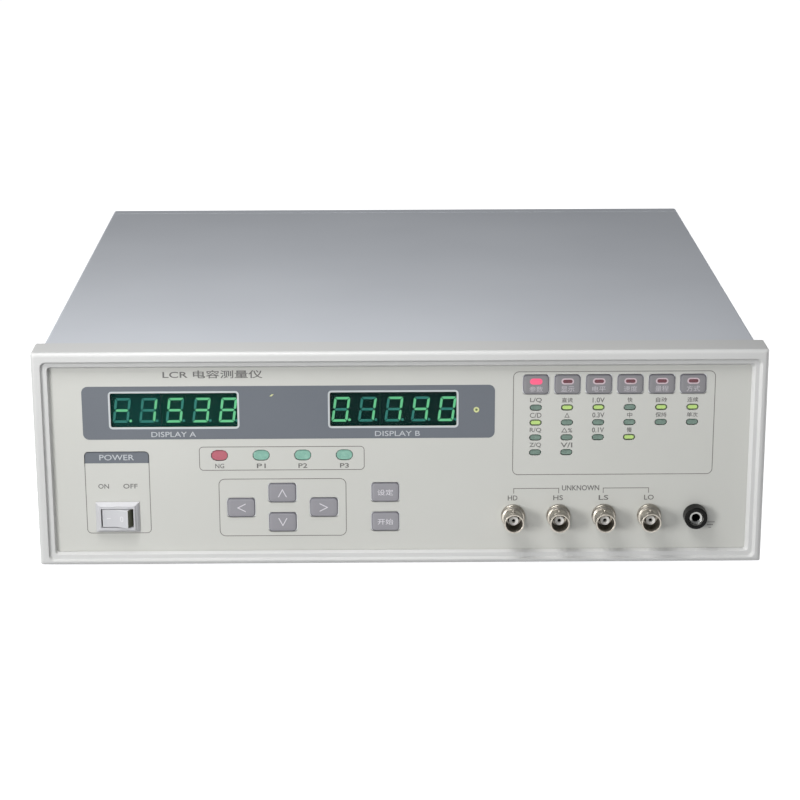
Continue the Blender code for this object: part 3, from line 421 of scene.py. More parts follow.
def repaint(node, finish, edge=0.0, edge_steps=2):
    """Gives a CAD node its finish and, if asked, rounded edges."""
    obj = NODES[node]
    obj.data.materials.clear()
    obj.data.materials.append(FINISH[finish])
    if edge:
        weld = obj.modifiers.new("weld", "WELD")
        weld.merge_threshold = 0.005 * MM
        bevel = obj.modifiers.new("rounded_edges", "BEVEL")
        bevel.width = edge
        bevel.segments = edge_steps
        bevel.limit_method = "ANGLE"
        bevel.angle_limit = math.radians(40)
        even_normals(obj)


# Case

def fillet(before, corner, after, radius, steps=3):
    """Stations that round one corner of a section. A station is ((left, right, top, bottom), depth,
    corner radius)."""
    def flat(station):
        return Vector((*station[0], station[1], station[2]))
    a, b, c = flat(before), flat(corner), flat(after)
    reach = [min(radius / (b - far).length, 0.45) for far in (a, c)]
    start, end = b.lerp(a, reach[0]), b.lerp(c, reach[1])
    result = []
    for i in range(steps + 1):
        t = i / steps
        spot = start * (1 - t) ** 2 + b * 2 * t * (1 - t) + end * t ** 2
        result.append((tuple(spot[:4]), spot[4], spot[5]))
    return result


def make_bezel():
    """The front bezel: a rounded outer edge, and two sloping steps down to the panel. The insets of its
    stations differ from side to side, as they do in the photograph."""
    outer, step, rim = 2.0 * MM, 1.6 * MM, FILM_Y - 0.3 * MM
    wall = (6.0 * MM, 6.0 * MM, 7.1 * MM, 4.9 * MM)
    section = [
        ((4.4 * MM, 3.0 * MM, 4.5 * MM, 2.2 * MM), 0, 2.8 * MM),
        ((4.9 * MM, 4.2 * MM, 5.6 * MM, 2.9 * MM), step, 2.4 * MM),
        ((7.4 * MM, 6.1 * MM, 7.2 * MM, 5.1 * MM), step, 1.6 * MM),
        ((8.0 * MM, 7.6 * MM, 8.4 * MM, 5.9 * MM), rim, 1.2 * MM),
        (wall, rim, 1.2 * MM),
    ]
    stations = [((0, 0, 0, 0), BEZEL_D, 1.0 * MM)]
    for i in range(8):
        a = i / 7 * math.pi / 2
        stations.append(((outer * (1 - math.cos(a)),) * 4, outer * (1 - math.sin(a)), 1.0 * MM))
    face = ((outer,) * 4, 0, 1.0 * MM)
    stations += fillet(face, section[0], section[1], 0.35 * MM)
    stations += fillet(section[0], section[1], section[2], 0.25 * MM)
    stations += fillet(section[1], section[2], section[3], 0.35 * MM)
    stations += [section[3], section[4], (wall, BEZEL_D, 1.2 * MM)]
    loops = []
    for (left, right, top, bottom), depth, radius in stations:
        outline = rounded_rect(
            (left - right) / 2, (CASE_H + bottom - top) / 2, CASE_W - left - right, CASE_H - top - bottom,
            radius, 8,
        )
        loops.append([(across, depth, up) for across, up in outline])
    piece("bezel_moulding", [(loft(loops, ring=True), FINISH["bezel"])], stands_for=["front_bezel"],
          angle=50)


def channel(half_w, low, high, thickness, bend, steps=10):
    """The outline of a sheet bent into an upside-down U, with rounded bends."""
    inner = max(bend - thickness, 0.3 * MM)
    right = arc(half_w - bend, high - bend, bend, 0, math.pi / 2, steps)
    left = arc(-half_w + bend, high - bend, bend, math.pi / 2, math.pi, steps)
    inside_x, inside_z = half_w - thickness - inner, high - thickness - inner
    back_left = arc(-inside_x, inside_z, inner, math.pi, math.pi / 2, steps)
    back_right = arc(inside_x, inside_z, inner, math.pi / 2, 0, steps)
    feet_left = [(-half_w, low), (-half_w + thickness, low)]
    feet_right = [(half_w - thickness, low), (half_w, low)]
    return right + left + feet_left + back_left + back_right + feet_right


def case_box(node):
    """A CAD node's box in case coordinates."""
    low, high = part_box(node)
    back = CASE_ORIGIN.inverted()
    return back @ low, back @ high


def make_cover():
    low, high = case_box("top_cover")
    thickness, bend, edge = 1.2 * MM, 1.5 * MM, 0.15 * MM
    mesh = slab([channel(high.x, low.z, high.z, thickness, bend)], low.y, high.y, edge, 1)
    piece("cover_sheet", [(mesh, FINISH["paint"])], stands_for=["top_cover"])


def cross_head(radius, height):
    """A pan-head screw with a cross recess, standing on the XY plane."""
    profile = [(0.0, height)]
    for i in range(1, 8):
        a = i / 7 * math.pi / 2
        profile.append((radius * math.sin(a), height * (0.35 + 0.65 * math.cos(a))))
    profile += [(radius, 0.0), (0.0, 0.0)]
    loops = [[(x, y, z) for x, y in circle(0, 0, max(r, 1e-9), 28)] for r, z in profile]
    arm, wide, deep = radius * 0.58, radius * 0.13, height * 0.45
    cross = box_mesh((-arm, -wide, deep), (arm, wide, height * 2))
    both = bmesh.new()
    both.from_mesh(cross)
    both.from_mesh(box_mesh((-wide, -arm, deep), (wide, arm, height * 2)))
    both.to_mesh(cross)
    both.free()
    driver = bpy.data.objects.new("driver", cross)
    bpy.context.scene.collection.objects.link(driver)
    head = bpy.data.objects.new("head", loft(loops))
    cut = head.modifiers.new("recess", "BOOLEAN")
    cut.operation = "DIFFERENCE"
    cut.object = driver
    cut.use_self = True
    mesh = evaluated_mesh(head)
    bpy.data.objects.remove(driver)
    return mesh


def screws(name, places, towards, radius=2.9 * MM, height=1.7 * MM):
    """Screw heads at places on the case, facing along towards."""
    head = cross_head(radius, height)
    turn = Vector(towards).to_track_quat("Z", "Y").to_matrix().to_4x4()
    parts = []
    for i, place in enumerate(places):
        copy = head.copy()
        twist = Matrix.Rotation(0.7 * i + 0.3, 4, "Z")
        copy.transform(Matrix.Translation(place) @ turn @ twist)
        parts.append((copy, FINISH["steel"]))
    bpy.data.meshes.remove(head)
    piece(name, parts)


def make_fasteners():
    """The screws along the cover's lower edges and in the rear panel's corners."""
    low, high = case_box("top_cover")
    inset, row_z = 30 * MM, 12 * MM
    ys = [low.y + inset, (low.y + high.y) / 2, high.y - inset]
    screws("left_cover_screws", [(low.x, y, row_z) for y in ys], (-1, 0, 0))
    screws("right_cover_screws", [(high.x, y, row_z) for y in ys], (1, 0, 0))
    low, high = case_box("rear_panel")
    inset = 7 * MM
    corners = [
        (x, high.y, z) for x in (low.x + inset, high.x - inset) for z in (low.z + inset, high.z - inset)
    ]
    screws("rear_panel_screws", corners, (0, 1, 0), 2.7 * MM, 1.6 * MM)


# Front panel

def printed(outlines, face=FILM_Y):
    """Ink on the film, or on ink whose front is at face."""
    return slab(outlines, face - INK_PROUD, face + INK_SUNK)


def frame_line(cx, cz, width, height, radius):
    inner = rounded_rect(cx, cz, width - 2 * LINE_W, height - 2 * LINE_W, radius - LINE_W)
    return printed([rounded_rect(cx, cz, width, height, radius), inner])


def bar(x0, x1, z0, z1):
    return printed([[(x0, z0), (x1, z0), (x1, z1), (x0, z1)]])


def span_box(x0, x1, z0, z1):
    """The centre, width and height of a box that is given by its sides in millimetres."""
    return (x0 + x1) / 2 * MM, (z0 + z1) / 2 * MM, (x1 - x0) * MM, (z1 - z0) * MM


LINE_W = 0.35 * MM
DISPLAY_BAND = span_box(-152, 45.2, 62.8, 89.3)
POWER_BOX, POWER_BOX_R = span_box(-152, -120.8, 15.1, 56.8), 2.2 * MM
BIN_FRAME = span_box(-96.8, -17.3, 46.9, 59.0)
CURSOR_FRAME = span_box(-87.8, -26.2, 13.25, 42.7)
FUNCTION_FRAME = span_box(53.8, 150.4, 43.8, 95.8)


def make_bands():
    """The dark print: the band around the displays and the head of the power switch's box."""
    windows = [rounded_rect(x, WINDOW_Z, WINDOW_W, WINDOW_H, WINDOW_R) for x in WINDOW_X.values()]
    band = printed([rounded_rect(*DISPLAY_BAND, 3 * MM), *windows])
    cx, cz, width, height = POWER_BOX
    left, right, top, low = cx - width / 2, cx + width / 2, cz + height / 2, 50.9 * MM
    head = arc(right - POWER_BOX_R, top - POWER_BOX_R, POWER_BOX_R, 0, math.pi / 2, 6)
    head += arc(left + POWER_BOX_R, top - POWER_BOX_R, POWER_BOX_R, math.pi / 2, math.pi, 6)
    head += [(left, low), (right, low)]
    parts = [(mesh, FINISH["band"]) for mesh in (band, printed([head]))]
    piece("display_band_print", parts)


def make_lines():
    """The fine lines: four frames, two brackets over the terminals and the earth symbol."""
    lines = [
        frame_line(*POWER_BOX, POWER_BOX_R), frame_line(*BIN_FRAME, 2 * MM),
        frame_line(*CURSOR_FRAME, 3 * MM), frame_line(*FUNCTION_FRAME, 2.8 * MM),
    ]
    level, drop = 37.1 * MM, 2.7 * MM
    for x0, x1 in ((54.5 * MM, 76.6 * MM), (97.8 * MM, 120.1 * MM)):
        lines.append(bar(x0, x1, level - LINE_W, level))
        lines.append(bar(x0, x0 + LINE_W, level - drop, level - LINE_W))
        lines.append(bar(x1 - LINE_W, x1, level - drop, level - LINE_W))
    earth_x, earth_z, pitch = 150.3 * MM, 19.4 * MM, 1.4 * MM
    for i, width in enumerate((4.6 * MM, 3.0 * MM, 1.4 * MM)):
        z = earth_z - pitch * i
        lines.append(bar(earth_x - width / 2, earth_x + width / 2, z - LINE_W, z))
    piece("panel_line_print", [(mesh, FINISH["ink"]) for mesh in lines])


def make_pale_print():
    """The pale print: the windows' borders and the words on the dark bands."""
    margin = 0.8 * MM
    parts = []
    for x in WINDOW_X.values():
        outer = rounded_rect(x, WINDOW_Z, WINDOW_W, WINDOW_H, WINDOW_R)
        inner = rounded_rect(x, WINDOW_Z, WINDOW_W - 2 * margin, WINDOW_H - 2 * margin, WINDOW_R - margin)
        parts.append((printed([outer, inner]), FINISH["white_ink"]))
    words = [  # (word, x, z, height, width), in millimetres
        ("POWER", -136.4, 53.8, 2.8, 16.6), ("DISPLAY A", -108.6, 65.3, 2.6, 21.4),
        ("DISPLAY B", -1.4, 65.2, 2.6, 21.6),
    ]
    for word, x, z, tall, wide in words:
        mesh = lettering(word, x * MM, z * MM, tall * MM, wide * MM, face=INK_Y, weight=0.004)
        parts.append((mesh, FINISH["pale_ink"]))
    piece("panel_white_print", parts)


def make_words():
    """The dark legends on the film: plain names of functions, units and terminals."""
    words = [  # (word, x, z, height, width), in millimetres
        ("ON", -143.2, 39.2, 2.4, 5.2), ("OFF", -130.3, 39.2, 2.4, 6.9),
        ("LCR 电容测量仪", -89.3, 95.15, 4.0, 47.5), ("UNKNOWN", 87.0, 37.1, 2.7, 18.0),
    ]
    words += [(name, x / MM, 49.2, 2.3, 4.3) for name, x in zip(("NG", "P1", "P2", "P3"), BIN_X)]
    words += [(name, x / MM - 0.2, 32.1, 2.5, 4.7) for name, x in zip(("HD", "HS", "LS", "LO"), TERMINAL_X)]
    columns = [
        ("L/Q", "C/D", "R/Q", "Z/Q"), ("直读", "△", "△%", "V/I"), ("1.0V", "0.3V", "0.1V"),
        ("快", "中", "慢"), ("自动", "保持"), ("连续", "单次"),
    ]
    width_of = {1: 2.5, 2: 5.3, 3: 5.6, 4: 5.8}  # by number of characters
    for x, column in zip(FUNCTION_X, columns):
        for row, word in enumerate(column):
            z = (STATUS_ROW_Z - STATUS_PITCH * row) / MM + 3.7
            words.append((word, x / MM, z, 2.5, width_of[len(word)]))
    parts = [
        (lettering(word, x * MM, z * MM, tall * MM, wide * MM, weight=0.012), FINISH["word_ink"])
        for word, x, z, tall, wide in words
    ]
    piece("panel_word_print", parts)


def key_pad(x, z, width, height, finish="key"):
    """An embossed key: its rim, and the pad inside the rim. Both profiles are (inset, height), in mm."""
    def loop(inset, proud):
        outline = rounded_rect(x, z, width - 2 * inset, height - 2 * inset, max(1.8 * MM - inset, 0.5 * MM))
        return [(across, FILM_Y - proud, up) for across, up in outline]
    rim = [(0, -0.2), (0, 0.12), (0.06, 0.26), (0.2, 0.38), (0.42, 0.44)]
    pad = [(0.42, 0.44), (0.7, 0.5), (1.2, 0.56), (2.0, 0.6)]
    rim_loops = [loop(inset * MM, proud * MM) for inset, proud in rim]
    pad_loops = [loop(inset * MM, proud * MM) for inset, proud in pad]
    return [
        (loft(rim_loops, cap_first=True), FINISH["key_rim"]),
        (loft(pad_loops, cap_last=True), FINISH[finish]),
    ]


def plunger_mesh(x, z, back):
    """The plunger behind a key, back to where the CAD has its end."""
    radius, front = 1.7 * MM, 0.2 * MM
    profile = [(0, front), (radius, front), (radius, FILM_Y - back), (0, FILM_Y - back)]
    return turned(profile, x, z, 16, ring=False)


KEY_FACE = FILM_Y - 0.6 * MM


def make_plain_keys():
    """The cursor keys, and the two keys with a word."""
    cursor = {"left": math.pi, "right": 0.0, "up": math.pi / 2, "down": -math.pi / 2}
    words = {"set": "设定", "start": "开始"}
    for name in [*cursor, *words]:
        node = f"key_{name}"
        low, high = case_box(node)
        x, z = (low.x + high.x) / 2, (low.z + high.z) / 2
        parts = key_pad(x, z, high.x - low.x, high.z - low.z)
        parts.append((plunger_mesh(x, z, high.y), FINISH["key"]))
        if name in cursor:
            legend = printed([chevron(x, z, cursor[name], 4.2 * MM, 4.4 * MM, 0.42 * MM)], KEY_FACE)
        else:
            legend = lettering(words[name], x, z, 3.0 * MM, 7.6 * MM, face=KEY_FACE)
        parts.append((legend, FINISH["key_legend"]))
        piece(f"{name}_key", parts, node, [node])


def make_function_keys():
    """The keys with a lamp over their word. The first lamp is lit."""
    lamp_up, plunger_down, legend_down = 1.6 * MM, 2.4 * MM, 2.2 * MM
    legends = ["参数", "显示", "电平", "速度", "量程", "方式"]
    for name, x, word in zip(FUNCTION_KEYS, FUNCTION_X, legends):
        node = f"key_{name}"
        low, high = case_box(node)
        z = FUNCTION_KEY_Z
        parts = key_pad(x, z, high.x - low.x, high.z - low.z, "function_key")
        parts.append((plunger_mesh(x, z - plunger_down, high.y), FINISH["key"]))
        outer = stadium(x, z + lamp_up, 6.0 * MM, 3.0 * MM)
        inner = stadium(x, z + lamp_up, 4.6 * MM, 1.75 * MM)
        lit = name == FUNCTION_KEYS[0]
        halo = FINISH["key_lamp_on"] if lit else FINISH["lamp_halo"]
        glass = FINISH["key_lamp_on"] if lit else FINISH["key_lamp_off"]
        back = KEY_FACE + 0.1 * MM
        parts.append((slab([outer, inner], KEY_FACE - 0.05 * MM, back), halo))
        parts.append((slab([inner], KEY_FACE - 0.12 * MM, back, 0.05 * MM, 1), glass))
        legend = lettering(word, x, z - legend_down, 2.8 * MM, 6.4 * MM, face=KEY_FACE)
        parts.append((legend, FINISH["soft_legend"]))
        piece(f"{name}_key", parts, node, [node])


# Displays and lamps


SEGMENTS = {
    "0": "abcdef", "1": "bc", "3": "abcdg", "4": "bcfg", "5": "acdfg", "7": "abc", "8": "abcdefg", "-": "g",
}


def digit_outlines(x, z, tall=12.3 * MM, wide=7.6 * MM, thick=1.15 * MM, lean=math.radians(7.8)):
    """Segment name to outline, for one leaning digit centred on x, z, and its point."""
    half_w, half_h, t = wide / 2, tall / 2, thick
    cut, slit, waist = 0.75 * MM, 0.2 * MM, 0.35 * MM

    def across(y, flip):
        """A bar at the top (flip 1) or the bottom (flip -1), its outer corners cut."""
        a, b, c = half_w - cut, half_w - 0.55 * cut, half_w - t - slit
        side = [(a, y), (b, y - flip * 0.3 * cut), (c, y - flip * t)]
        return side + [(-px, py) for px, py in reversed(side)]

    def upright(side, up):
        """A bar at the left or right, in the upper or lower half."""
        outer, inner = side * half_w, side * (half_w - t)
        end = up * (half_h - 0.45 * cut - slit)
        shapes = [(outer, end - up * 0.55 * cut), (outer - side * 0.35 * cut, end)]
        shapes += [(inner, end - up * (t - 0.3 * cut)), (inner, up * (waist + t / 2))]
        return shapes + [(outer - side * t / 2, up * waist), (outer, up * (waist + t / 2))]

    h, g = t / 2, half_w - t / 2 - slit
    shapes = {
        "a": across(half_h, 1), "d": across(-half_h, -1),
        "b": upright(1, 1), "c": upright(1, -1), "f": upright(-1, 1), "e": upright(-1, -1),
        "g": [(g, 0), (g - h, h), (h - g, h), (-g, 0), (h - g, -h), (g - h, -h)],
    }
    slope = math.tan(lean)
    moved = {key: [(x + px + py * slope, z + py) for px, py in shape] for key, shape in shapes.items()}
    moved["point"] = circle(x + half_w + 1.1 * MM - half_h * slope, z - half_h + 0.9 * MM, 0.66 * MM, 20)
    return moved


def make_displays():
    """Two rows of five digits on the faces of the modules. A sign may carry its decimal point."""
    readings = {"a": ["-.", "1", "5", "3", "8"], "b": ["0.", "1", "7", "4", "0"]}
    pitch, shift, z = 12.7 * MM, 0.35 * MM, 76.8 * MM
    face = case_box("digit_pair_a")[0].y
    for side, reading in readings.items():
        on, off = [], []
        for i, sign in enumerate(reading):
            shapes = digit_outlines(WINDOW_X[side] + (i - 2) * pitch + shift, z)
            lit = set(SEGMENTS[sign[0]]) | ({"point"} if sign.endswith(".") else set())
            for segment, shape in shapes.items():
                row = on if segment in lit else off
                row.append(slab([shape], face - 0.12 * MM, face + 0.05 * MM))
        piece(f"lit_segments_{side}", [(mesh, FINISH["segment_on"]) for mesh in on])
        # The unlit segments get the finish with the painted glow.
        piece(f"unlit_segments_{side}", [(mesh, FINISH["segment_off_painted_glow"]) for mesh in off])
    repaint("digit_pair_a", "module_a")
    repaint("digit_triple_a", "module_b")
    for node in ("digit_pair_b", "digit_triple_b"):
        repaint(node, "module_c")
    for side in WINDOW_X:
        repaint(f"display_window_{side}", "pane")


def make_lamps():
    """The bin and status lamps, just behind the film's face and in front of the CAD's lens blocks."""
    front, back, bin_z = FILM_Y + 0.35 * MM, FILM_Y + 2.6 * MM, 54.5 * MM
    parts = []
    for i, x in enumerate(BIN_X):
        lens = slab([stadium(x, bin_z, 7.8 * MM, 5.0 * MM)], front, back, 0.3 * MM)
        parts.append((lens, FINISH["lamp_mint" if i else "lamp_red"]))
    piece("bin_lamps", parts)
    lit = {(0, 1), (1, 0), (2, 0), (3, 2), (4, 0), (5, 0)}
    parts = []
    for column, rows in enumerate((4, 4, 3, 3, 2, 2)):
        for row in range(rows):
            x, z = FUNCTION_X[column], STATUS_ROW_Z - STATUS_PITCH * row
            outer, inner = stadium(x, z, 5.4 * MM, 2.6 * MM), stadium(x, z, 4.5 * MM, 1.7 * MM)
            if (column, row) in lit:
                parts.append((slab([outer, inner], front, back), FINISH["lamp_rim"]))
                parts.append((slab([inner], front, back), FINISH["lamp_on"]))
            else:
                parts.append((slab([outer], front, back, 0.25 * MM), FINISH["lamp_off"]))
    piece("status_lamps", parts)


def make_unit_marks():
    """The small round lamp and the fleck of amber beside the displays."""
    x, z, back = 36.35 * MM, 76.9 * MM, FILM_Y + INK_SUNK
    outer, inner = circle(x, z, 1.35 * MM), circle(x, z, 0.6 * MM)
    ring = slab([outer, inner], FILM_Y - 0.15 * MM, back)
    dot = slab([inner], FILM_Y - 0.06 * MM, back)
    fleck = [(-62.4, 84.1), (-61.4, 84.1), (-60.4, 85.1), (-61.4, 85.1)]
    mark = printed([[(px * MM, pz * MM) for px, pz in fleck]], INK_Y)
    parts = [(ring, FINISH["amber"]), (dot, FINISH["lamp_rim"]), (mark, FINISH["amber"])]
    piece("unit_lamps", parts)


# Terminals

def rounded_profile(points, radius=0.25 * MM, steps=3):
    """The closed profile with each corner cut into a small arc."""
    result = []
    count = len(points)
    for i, point in enumerate(points):
        here = Vector(point)
        before = (Vector(points[i - 1]) - here)
        after = (Vector(points[(i + 1) % count]) - here)
        reach = min(radius, before.length * 0.4, after.length * 0.4)
        start, end = here + before.normalized() * reach, here + after.normalized() * reach
        for j in range(steps + 1):
            t = j / steps
            spot = start * (1 - t) ** 2 + here * 2 * t * (1 - t) + end * t ** 2
            result.append((spot.x, spot.y))
    return result


def lug_mesh(x, y, z, up):
    """A bayonet lug on top of a shell (up 1) or under it (up -1). Stations are (radius, height), in mm."""
    stations = [(0.98, 4.5), (0.98, 5.25), (0.9, 5.4), (0.7, 5.48), (0.35, 5.5)]
    loops = [
        [(x + dx, y + dy, z + up * height * MM) for dx, dy in circle(0, 0, radius * MM, 20)]
        for radius, height in stations
    ]
    return loft(loops, cap_first=True, cap_last=True)


def make_terminals():
    """Four BNC sockets: a shell with a groove behind its lip, and an insulator around a hollow contact that
    is painted near-black as the shade at the bottom of its hole.
    """
    for name, x in zip(TERMINALS, TERMINAL_X):
        z, reach = TERMINAL_Z, 12.0 * MM
        shell = rounded_profile([
            (4.05 * MM, reach), (4.8 * MM, reach), (4.8 * MM, 10.9 * MM), (4.55 * MM, 10.6 * MM),
            (4.55 * MM, 9.6 * MM), (4.8 * MM, 9.3 * MM), (4.8 * MM, 4.6 * MM), (4.5 * MM, 4.4 * MM),
            (4.5 * MM, 3.4 * MM), (5.5 * MM, 3.1 * MM), (5.5 * MM, 1.8 * MM), (5.85 * MM, 1.5 * MM),
            (5.85 * MM, 0.02 * MM), (4.65 * MM, 0.02 * MM), (4.65 * MM, -13 * MM), (2.8 * MM, -13 * MM),
            (2.8 * MM, 3 * MM), (4.05 * MM, 3 * MM),
        ], 0.2 * MM)
        parts = [(turned(shell, x, z), FINISH["nickel"])]
        for up in (1, -1):
            parts.append((lug_mesh(x, FILM_Y - reach + 4.9 * MM, z, up), FINISH["nickel"]))
        piece(f"{name}_shell", parts, stands_for=[f"bnc_shell_{name}"])
        core = [
            (0.95 * MM, reach - 9 * MM), (0.95 * MM, reach - 4.4 * MM), (2.3 * MM, reach - 4.4 * MM),
            (2.3 * MM, -15 * MM), (0.95 * MM, -15 * MM),
        ]
        # The contact is near-black: painted shade for the bottom of the hole in the insulator.
        contact = [
            (0.42 * MM, reach - 6.2 * MM), (0.9 * MM, reach - 6.2 * MM), (0.9 * MM, -15 * MM),
            (0.42 * MM, -15 * MM),
        ]
        parts = [
            (turned(rounded_profile(core, 0.15 * MM), x, z, 48), FINISH["insulator"]),
            (turned(contact, x, z, 24), FINISH["contact"]),
        ]
        piece(f"{name}_core", parts, stands_for=[f"bnc_insulator_{name}"])
        repaint(f"bnc_nut_{name}", "nickel", 0.3 * MM)


def make_earth_socket():
    """The earth socket: a rounded body around a countersunk sleeve."""
    x, z, reach = JACK_X, TERMINAL_Z, 6.0 * MM
    body = rounded_profile([
        (3.6 * MM, reach), (5.45 * MM, reach), (5.8 * MM, 0.02 * MM), (4.2 * MM, 0.02 * MM),
        (4.2 * MM, -12 * MM), (3.6 * MM, -12 * MM),
    ], 0.6 * MM, 6)
    piece("earth_socket_body", [(turned(body, x, z), FINISH["gloss_black"])],
          stands_for=["ground_jack_body"])
    sleeve = rounded_profile([
        (2.0 * MM, reach - 1.6 * MM), (3.0 * MM, reach - 1.3 * MM), (3.5 * MM, reach - 0.3 * MM),
        (3.55 * MM, reach - 0.4 * MM), (3.55 * MM, -15 * MM), (2.0 * MM, -15 * MM),
    ], 0.15 * MM, 3)
    piece("earth_socket_sleeve", [(turned(sleeve, x, z), FINISH["chrome"])],
          stands_for=["ground_jack_socket"])
    repaint("ground_jack_nut", "nickel", 0.3 * MM)


# Power switch

ROCKER_APEX = (-ROCKER_RISE * math.tan(ROCKER_TILT), -ROCKER_RISE)  # where its two faces meet


def rocker_outline():
    """The rocker from above, about its axis, with the ON side pressed in."""
    radius, slope = math.hypot(ROCKER_REACH, ROCKER_RISE), math.atan2(ROCKER_RISE, ROCKER_REACH)
    raised_slope = slope + 2 * ROCKER_TILT
    raised = (radius * math.cos(raised_slope), -radius * math.sin(raised_slope))
    front, back = math.radians(5), math.radians(25)
    right_skirt = arc(0, 0, ROCKER_R, back, -front - 2 * ROCKER_TILT, 12)
    left_skirt = arc(0, 0, ROCKER_R, front - math.pi, -math.pi - back, 8)
    return [*right_skirt, raised, ROCKER_APEX, (-ROCKER_REACH, -ROCKER_RISE), *left_skirt]


def rocker_marks():
    """The dash on the pressed face, and the upright ring on the raised one."""
    pressed_y, thickness, ring_along = ROCKER_Y - ROCKER_RISE, 0.09 * MM, 3.1 * MM
    outline = rounded_rect(SWITCH_X - 4.2 * MM, SWITCH_Z, 2.0 * MM, 0.5 * MM, 0.2 * MM, 3)
    dash = slab([outline], pressed_y - 0.04 * MM, pressed_y + 0.05 * MM)
    oval = [stadium(0, 0, 2.7 * MM, 1.7 * MM), stadium(0, 0, 1.9 * MM, 0.9 * MM)]
    ring = outline_mesh([[(-up, across) for across, up in outline] for outline in oval], thickness)
    apex = Matrix.Translation((SWITCH_X + ROCKER_APEX[0], ROCKER_Y + ROCKER_APEX[1], SWITCH_Z))
    turn = Matrix.Rotation(-2 * ROCKER_TILT, 4, "Z")
    ring.transform(apex @ turn @ Matrix.Translation((ring_along, 0, 0)) @ FACE_UP)
    return [dash, ring]


def make_switch():
    """The housing, and the rocker with its axle. The flank that shows when the ON side is in has a dark olive
    colour that is partly painted shade, for the side that faces away from the light.
    """
    repaint("switch_housing", "switch", 0.35 * MM, 3)
    length, edge, axle_r, axle_length = 9.0 * MM, 0.3 * MM, 1.2 * MM, 11.9 * MM
    rocker = outline_mesh([rocker_outline()], length, edge, 3)
    axle = outline_mesh([circle(0, 0, axle_r, 24)], axle_length)
    for mesh in (rocker, axle):
        mesh.transform(Matrix.Translation((SWITCH_X, ROCKER_Y, SWITCH_Z)))
    # The right-facing flank of the raised end takes the finish with painted shade.
    raised = [p for p in rocker.polygons if p.normal.x > 0.5 and p.center.x > SWITCH_X + 4 * MM]
    flank = split_faces(rocker, {p.index for p in raised})
    parts = [(rocker, FINISH["switch"]), (flank, FINISH["rocker_flank_painted_shade"]), (axle, FINISH["switch"])]
    parts += [(mesh, FINISH["rocker_ink"]) for mesh in rocker_marks()]
    piece("rocker", parts, "power_rocker", ["switch_rocker"])


# Back, inside and underside

def block(x, z, half_w, half_h, front, back, edge=0.0):
    """A box centred on x, z, between two depths."""
    return box_mesh((x - half_w, front, z - half_h), (x + half_w, back, z + half_h), edge)


def make_inlet_pins():
    """The three flat pins in the power inlet."""
    low, high = case_box("power_inlet")
    x, z, front, back = (low.x + high.x) / 2, 60 * MM, high.y - 17 * MM, high.y - 4 * MM
    pins = [
        block(x + dx, z + dz, 1 * MM, 2 * MM, front, back, 0.4 * MM)
        for dx, dz in ((-7 * MM, -1.5 * MM), (7 * MM, -1.5 * MM), (0, 2.5 * MM))
    ]
    piece("inlet_pins", [(mesh, FINISH["nickel"]) for mesh in pins])


def make_interface_contacts():
    """The interface port's tongue, with a row of contacts above it and below it, and its jackscrews."""
    low, high = case_box("interface_port")
    x, z = (low.x + high.x) / 2, (low.z + high.z) / 2
    tongue = block(x, z, 23 * MM, 1 * MM, high.y - 8.3 * MM, high.y - 1.2 * MM, 0.2 * MM)
    parts = [(tongue, FINISH["black"])]
    count, pitch, rise = 18, 2.4 * MM, 1.05 * MM
    for i in range(count):
        pad_x = x + (i - (count - 1) / 2) * pitch
        for side in (1, -1):
            # The pads are near-black: painted shade inside the port.
            pad = block(pad_x, z + side * rise, 0.5 * MM, 0.1 * MM, high.y - 7.5 * MM, high.y - 1.6 * MM)
            parts.append((pad, FINISH["contact"]))
    piece("interface_contacts", parts)
    spots = [(x + side * 32 * MM, high.y - 3.5 * MM, z) for side in (-1, 1)]
    screws("interface_jackscrews", spots, (0, 1, 0), 2.2 * MM, 1.4 * MM)


def make_back():
    repaint("rear_frame", "paint", 0.6 * MM, 3)
    repaint("rear_panel", "paint")
    repaint("power_inlet", "black", 0.5 * MM, 3)
    repaint("fuse_drawer", "black", 0.3 * MM)
    repaint("interface_port", "nickel", 0.25 * MM)
    make_inlet_pins()
    make_interface_contacts()
    earth_screw = (-84 * MM, case_box("rear_panel")[1].y, 40 * MM)
    screws("chassis_earth_screw", [earth_screw], (0, 1, 0), 3.2 * MM, 1.9 * MM)


def make_inside():
    """The parts behind the front, and the film itself, keep their CAD shapes."""
    for node, finish in {
        "front_panel": "aluminium", "shield_can": "aluminium", "display_board": "board",
        "main_board": "board", "transformer_core": "core", "transformer_coil": "tape",
        "bin_led_strip": "lamp_off", "status_led_block": "lamp_off", "key_led_strip": "key_lamp_off",
        "panel_overlay": "film",
    }.items():
        repaint(node, finish)


def make_underside():
    repaint("bottom_tray", "paint")
    for side in ("left", "right"):
        for kind in ("front_foot", "rear_foot", "tilt_leg"):
            repaint(f"{kind}_{side}", "rubber", 0.5 * MM)


# Floor, camera and light

def make_floor():
    """A pale floor that glows to white. The object only reflects it: its bounce would flatten the shading."""
    bpy.ops.mesh.primitive_plane_add(size=80, location=(0, 0, 0))
    floor = bpy.context.object
    floor.name = "floor"
    table = surface("lit_table", (0.86, 0.86, 0.86), (0.88, 0.88, 0.88), 0.8, grain=60, relief=0.0,
                    blotch=2, emission=(1, 1, 1), strength=0.8)
    floor.data.materials.append(table)
    floor.visible_diffuse = False


def make_camera():
    """The photograph's camera: a long lens that looks down on the front from a metre away."""
    data = bpy.data.cameras.new("camera")
    data.lens = 101.8
    data.sensor_width = 36
    data.dof.use_dof = False
    camera = bpy.data.objects.new("camera", data)
    bpy.context.scene.collection.objects.link(camera)
    pitch, yaw, roll = math.radians(90 - 16.846), math.radians(-0.487), math.radians(-0.163)
    turn = Matrix.Rotation(yaw, 4, "Z") @ Matrix.Rotation(pitch, 4, "X") @ Matrix.Rotation(roll, 4, "Z")
    spot = CASE_ORIGIN @ Vector((-8.95 * MM, -1029.4 * MM, 394.84 * MM))
    camera.matrix_world = Matrix.Translation(spot) @ turn
    bpy.context.scene.camera = camera


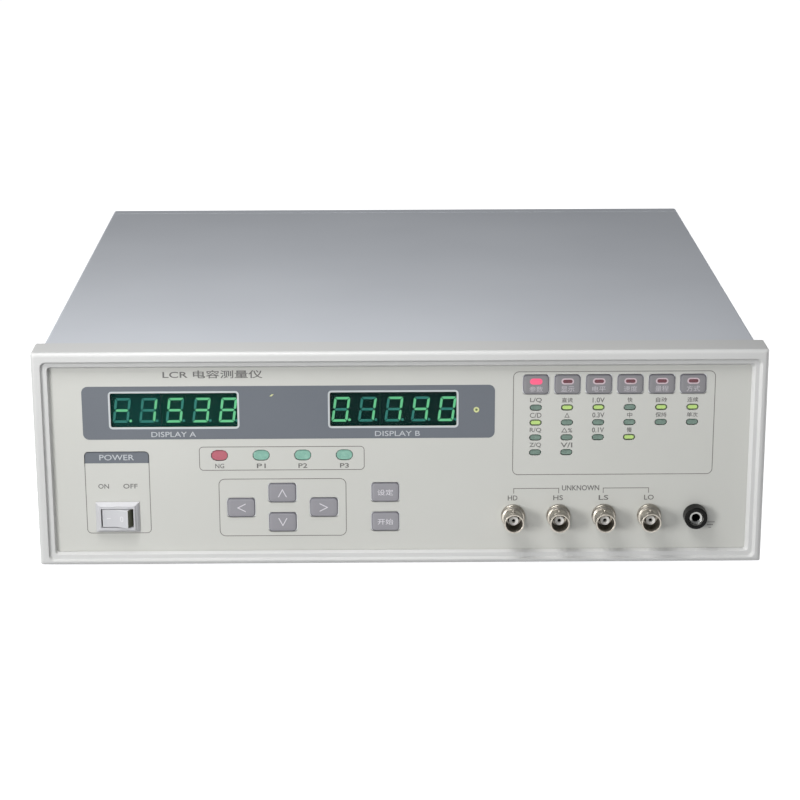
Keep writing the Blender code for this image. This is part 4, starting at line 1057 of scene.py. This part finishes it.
def area_light(name, place, target, size, power):
    data = bpy.data.lights.new(name, "AREA")
    data.shape = "RECTANGLE"
    data.size, data.size_y = size
    data.energy = power
    light = bpy.data.objects.new(name, data)
    bpy.context.scene.collection.objects.link(light)
    light.location = place
    light.rotation_euler = (Vector(target) - Vector(place)).to_track_quat("-Z", "Y").to_euler()


def make_world():
    """Sky light that is strongest from the front left and fades to nothing at the opposite side."""
    world = bpy.context.scene.world or bpy.data.worlds.new("world")
    bpy.context.scene.world = world
    world.use_nodes = True
    background = world.node_tree.nodes["Background"]
    background.inputs["Color"].default_value = (0.95, 0.97, 1.0, 1)
    nodes, links = world.node_tree.nodes, world.node_tree.links
    direction = nodes.new("ShaderNodeTexCoord")
    slope = nodes.new("ShaderNodeVectorMath")
    slope.operation = "DOT_PRODUCT"
    slope.inputs[1].default_value = (-0.75, -0.65, 0.12)
    level = nodes.new("ShaderNodeMapRange")
    for socket, value in (("From Min", -1), ("From Max", 1), ("To Min", 0), ("To Max", 0.5)):
        level.inputs[socket].default_value = value
    links.new(direction.outputs["Generated"], slope.inputs[0])
    links.new(slope.outputs["Value"], level.inputs["Value"])
    links.new(level.outputs["Result"], background.inputs["Strength"])
    bpy.context.scene.view_settings.view_transform = "Standard"


def make_lights():
    area_light("key", (-1.1, -1.4, 0.35), (0, -0.15, 0.06), (0.5, 0.5), 15.7)
    area_light("softbox", (-0.13, -0.33, 0.50), (-0.03, -0.1, 0.1), (0.3, 0.2), 1.9)
    area_light("side_fill", (0.9, 0.06, 0.07), (0.17, -0.08, 0.06), (0.25, 0.1), 3)
    for side in (-1, 1):
        area_light(f"rear_fill_{side + 1}", (side * 1.1, 0.9, 0.06), (0, 0.1, 0.06), (0.3, 0.1), 7)


make_bezel()
make_cover()
make_fasteners()
make_bands()
make_lines()
make_pale_print()
make_words()
make_plain_keys()
make_function_keys()
make_displays()
make_lamps()
make_unit_marks()
make_terminals()
make_earth_socket()
make_switch()
make_back()
make_inside()
make_underside()
make_floor()
make_camera()
make_world()
make_lights()
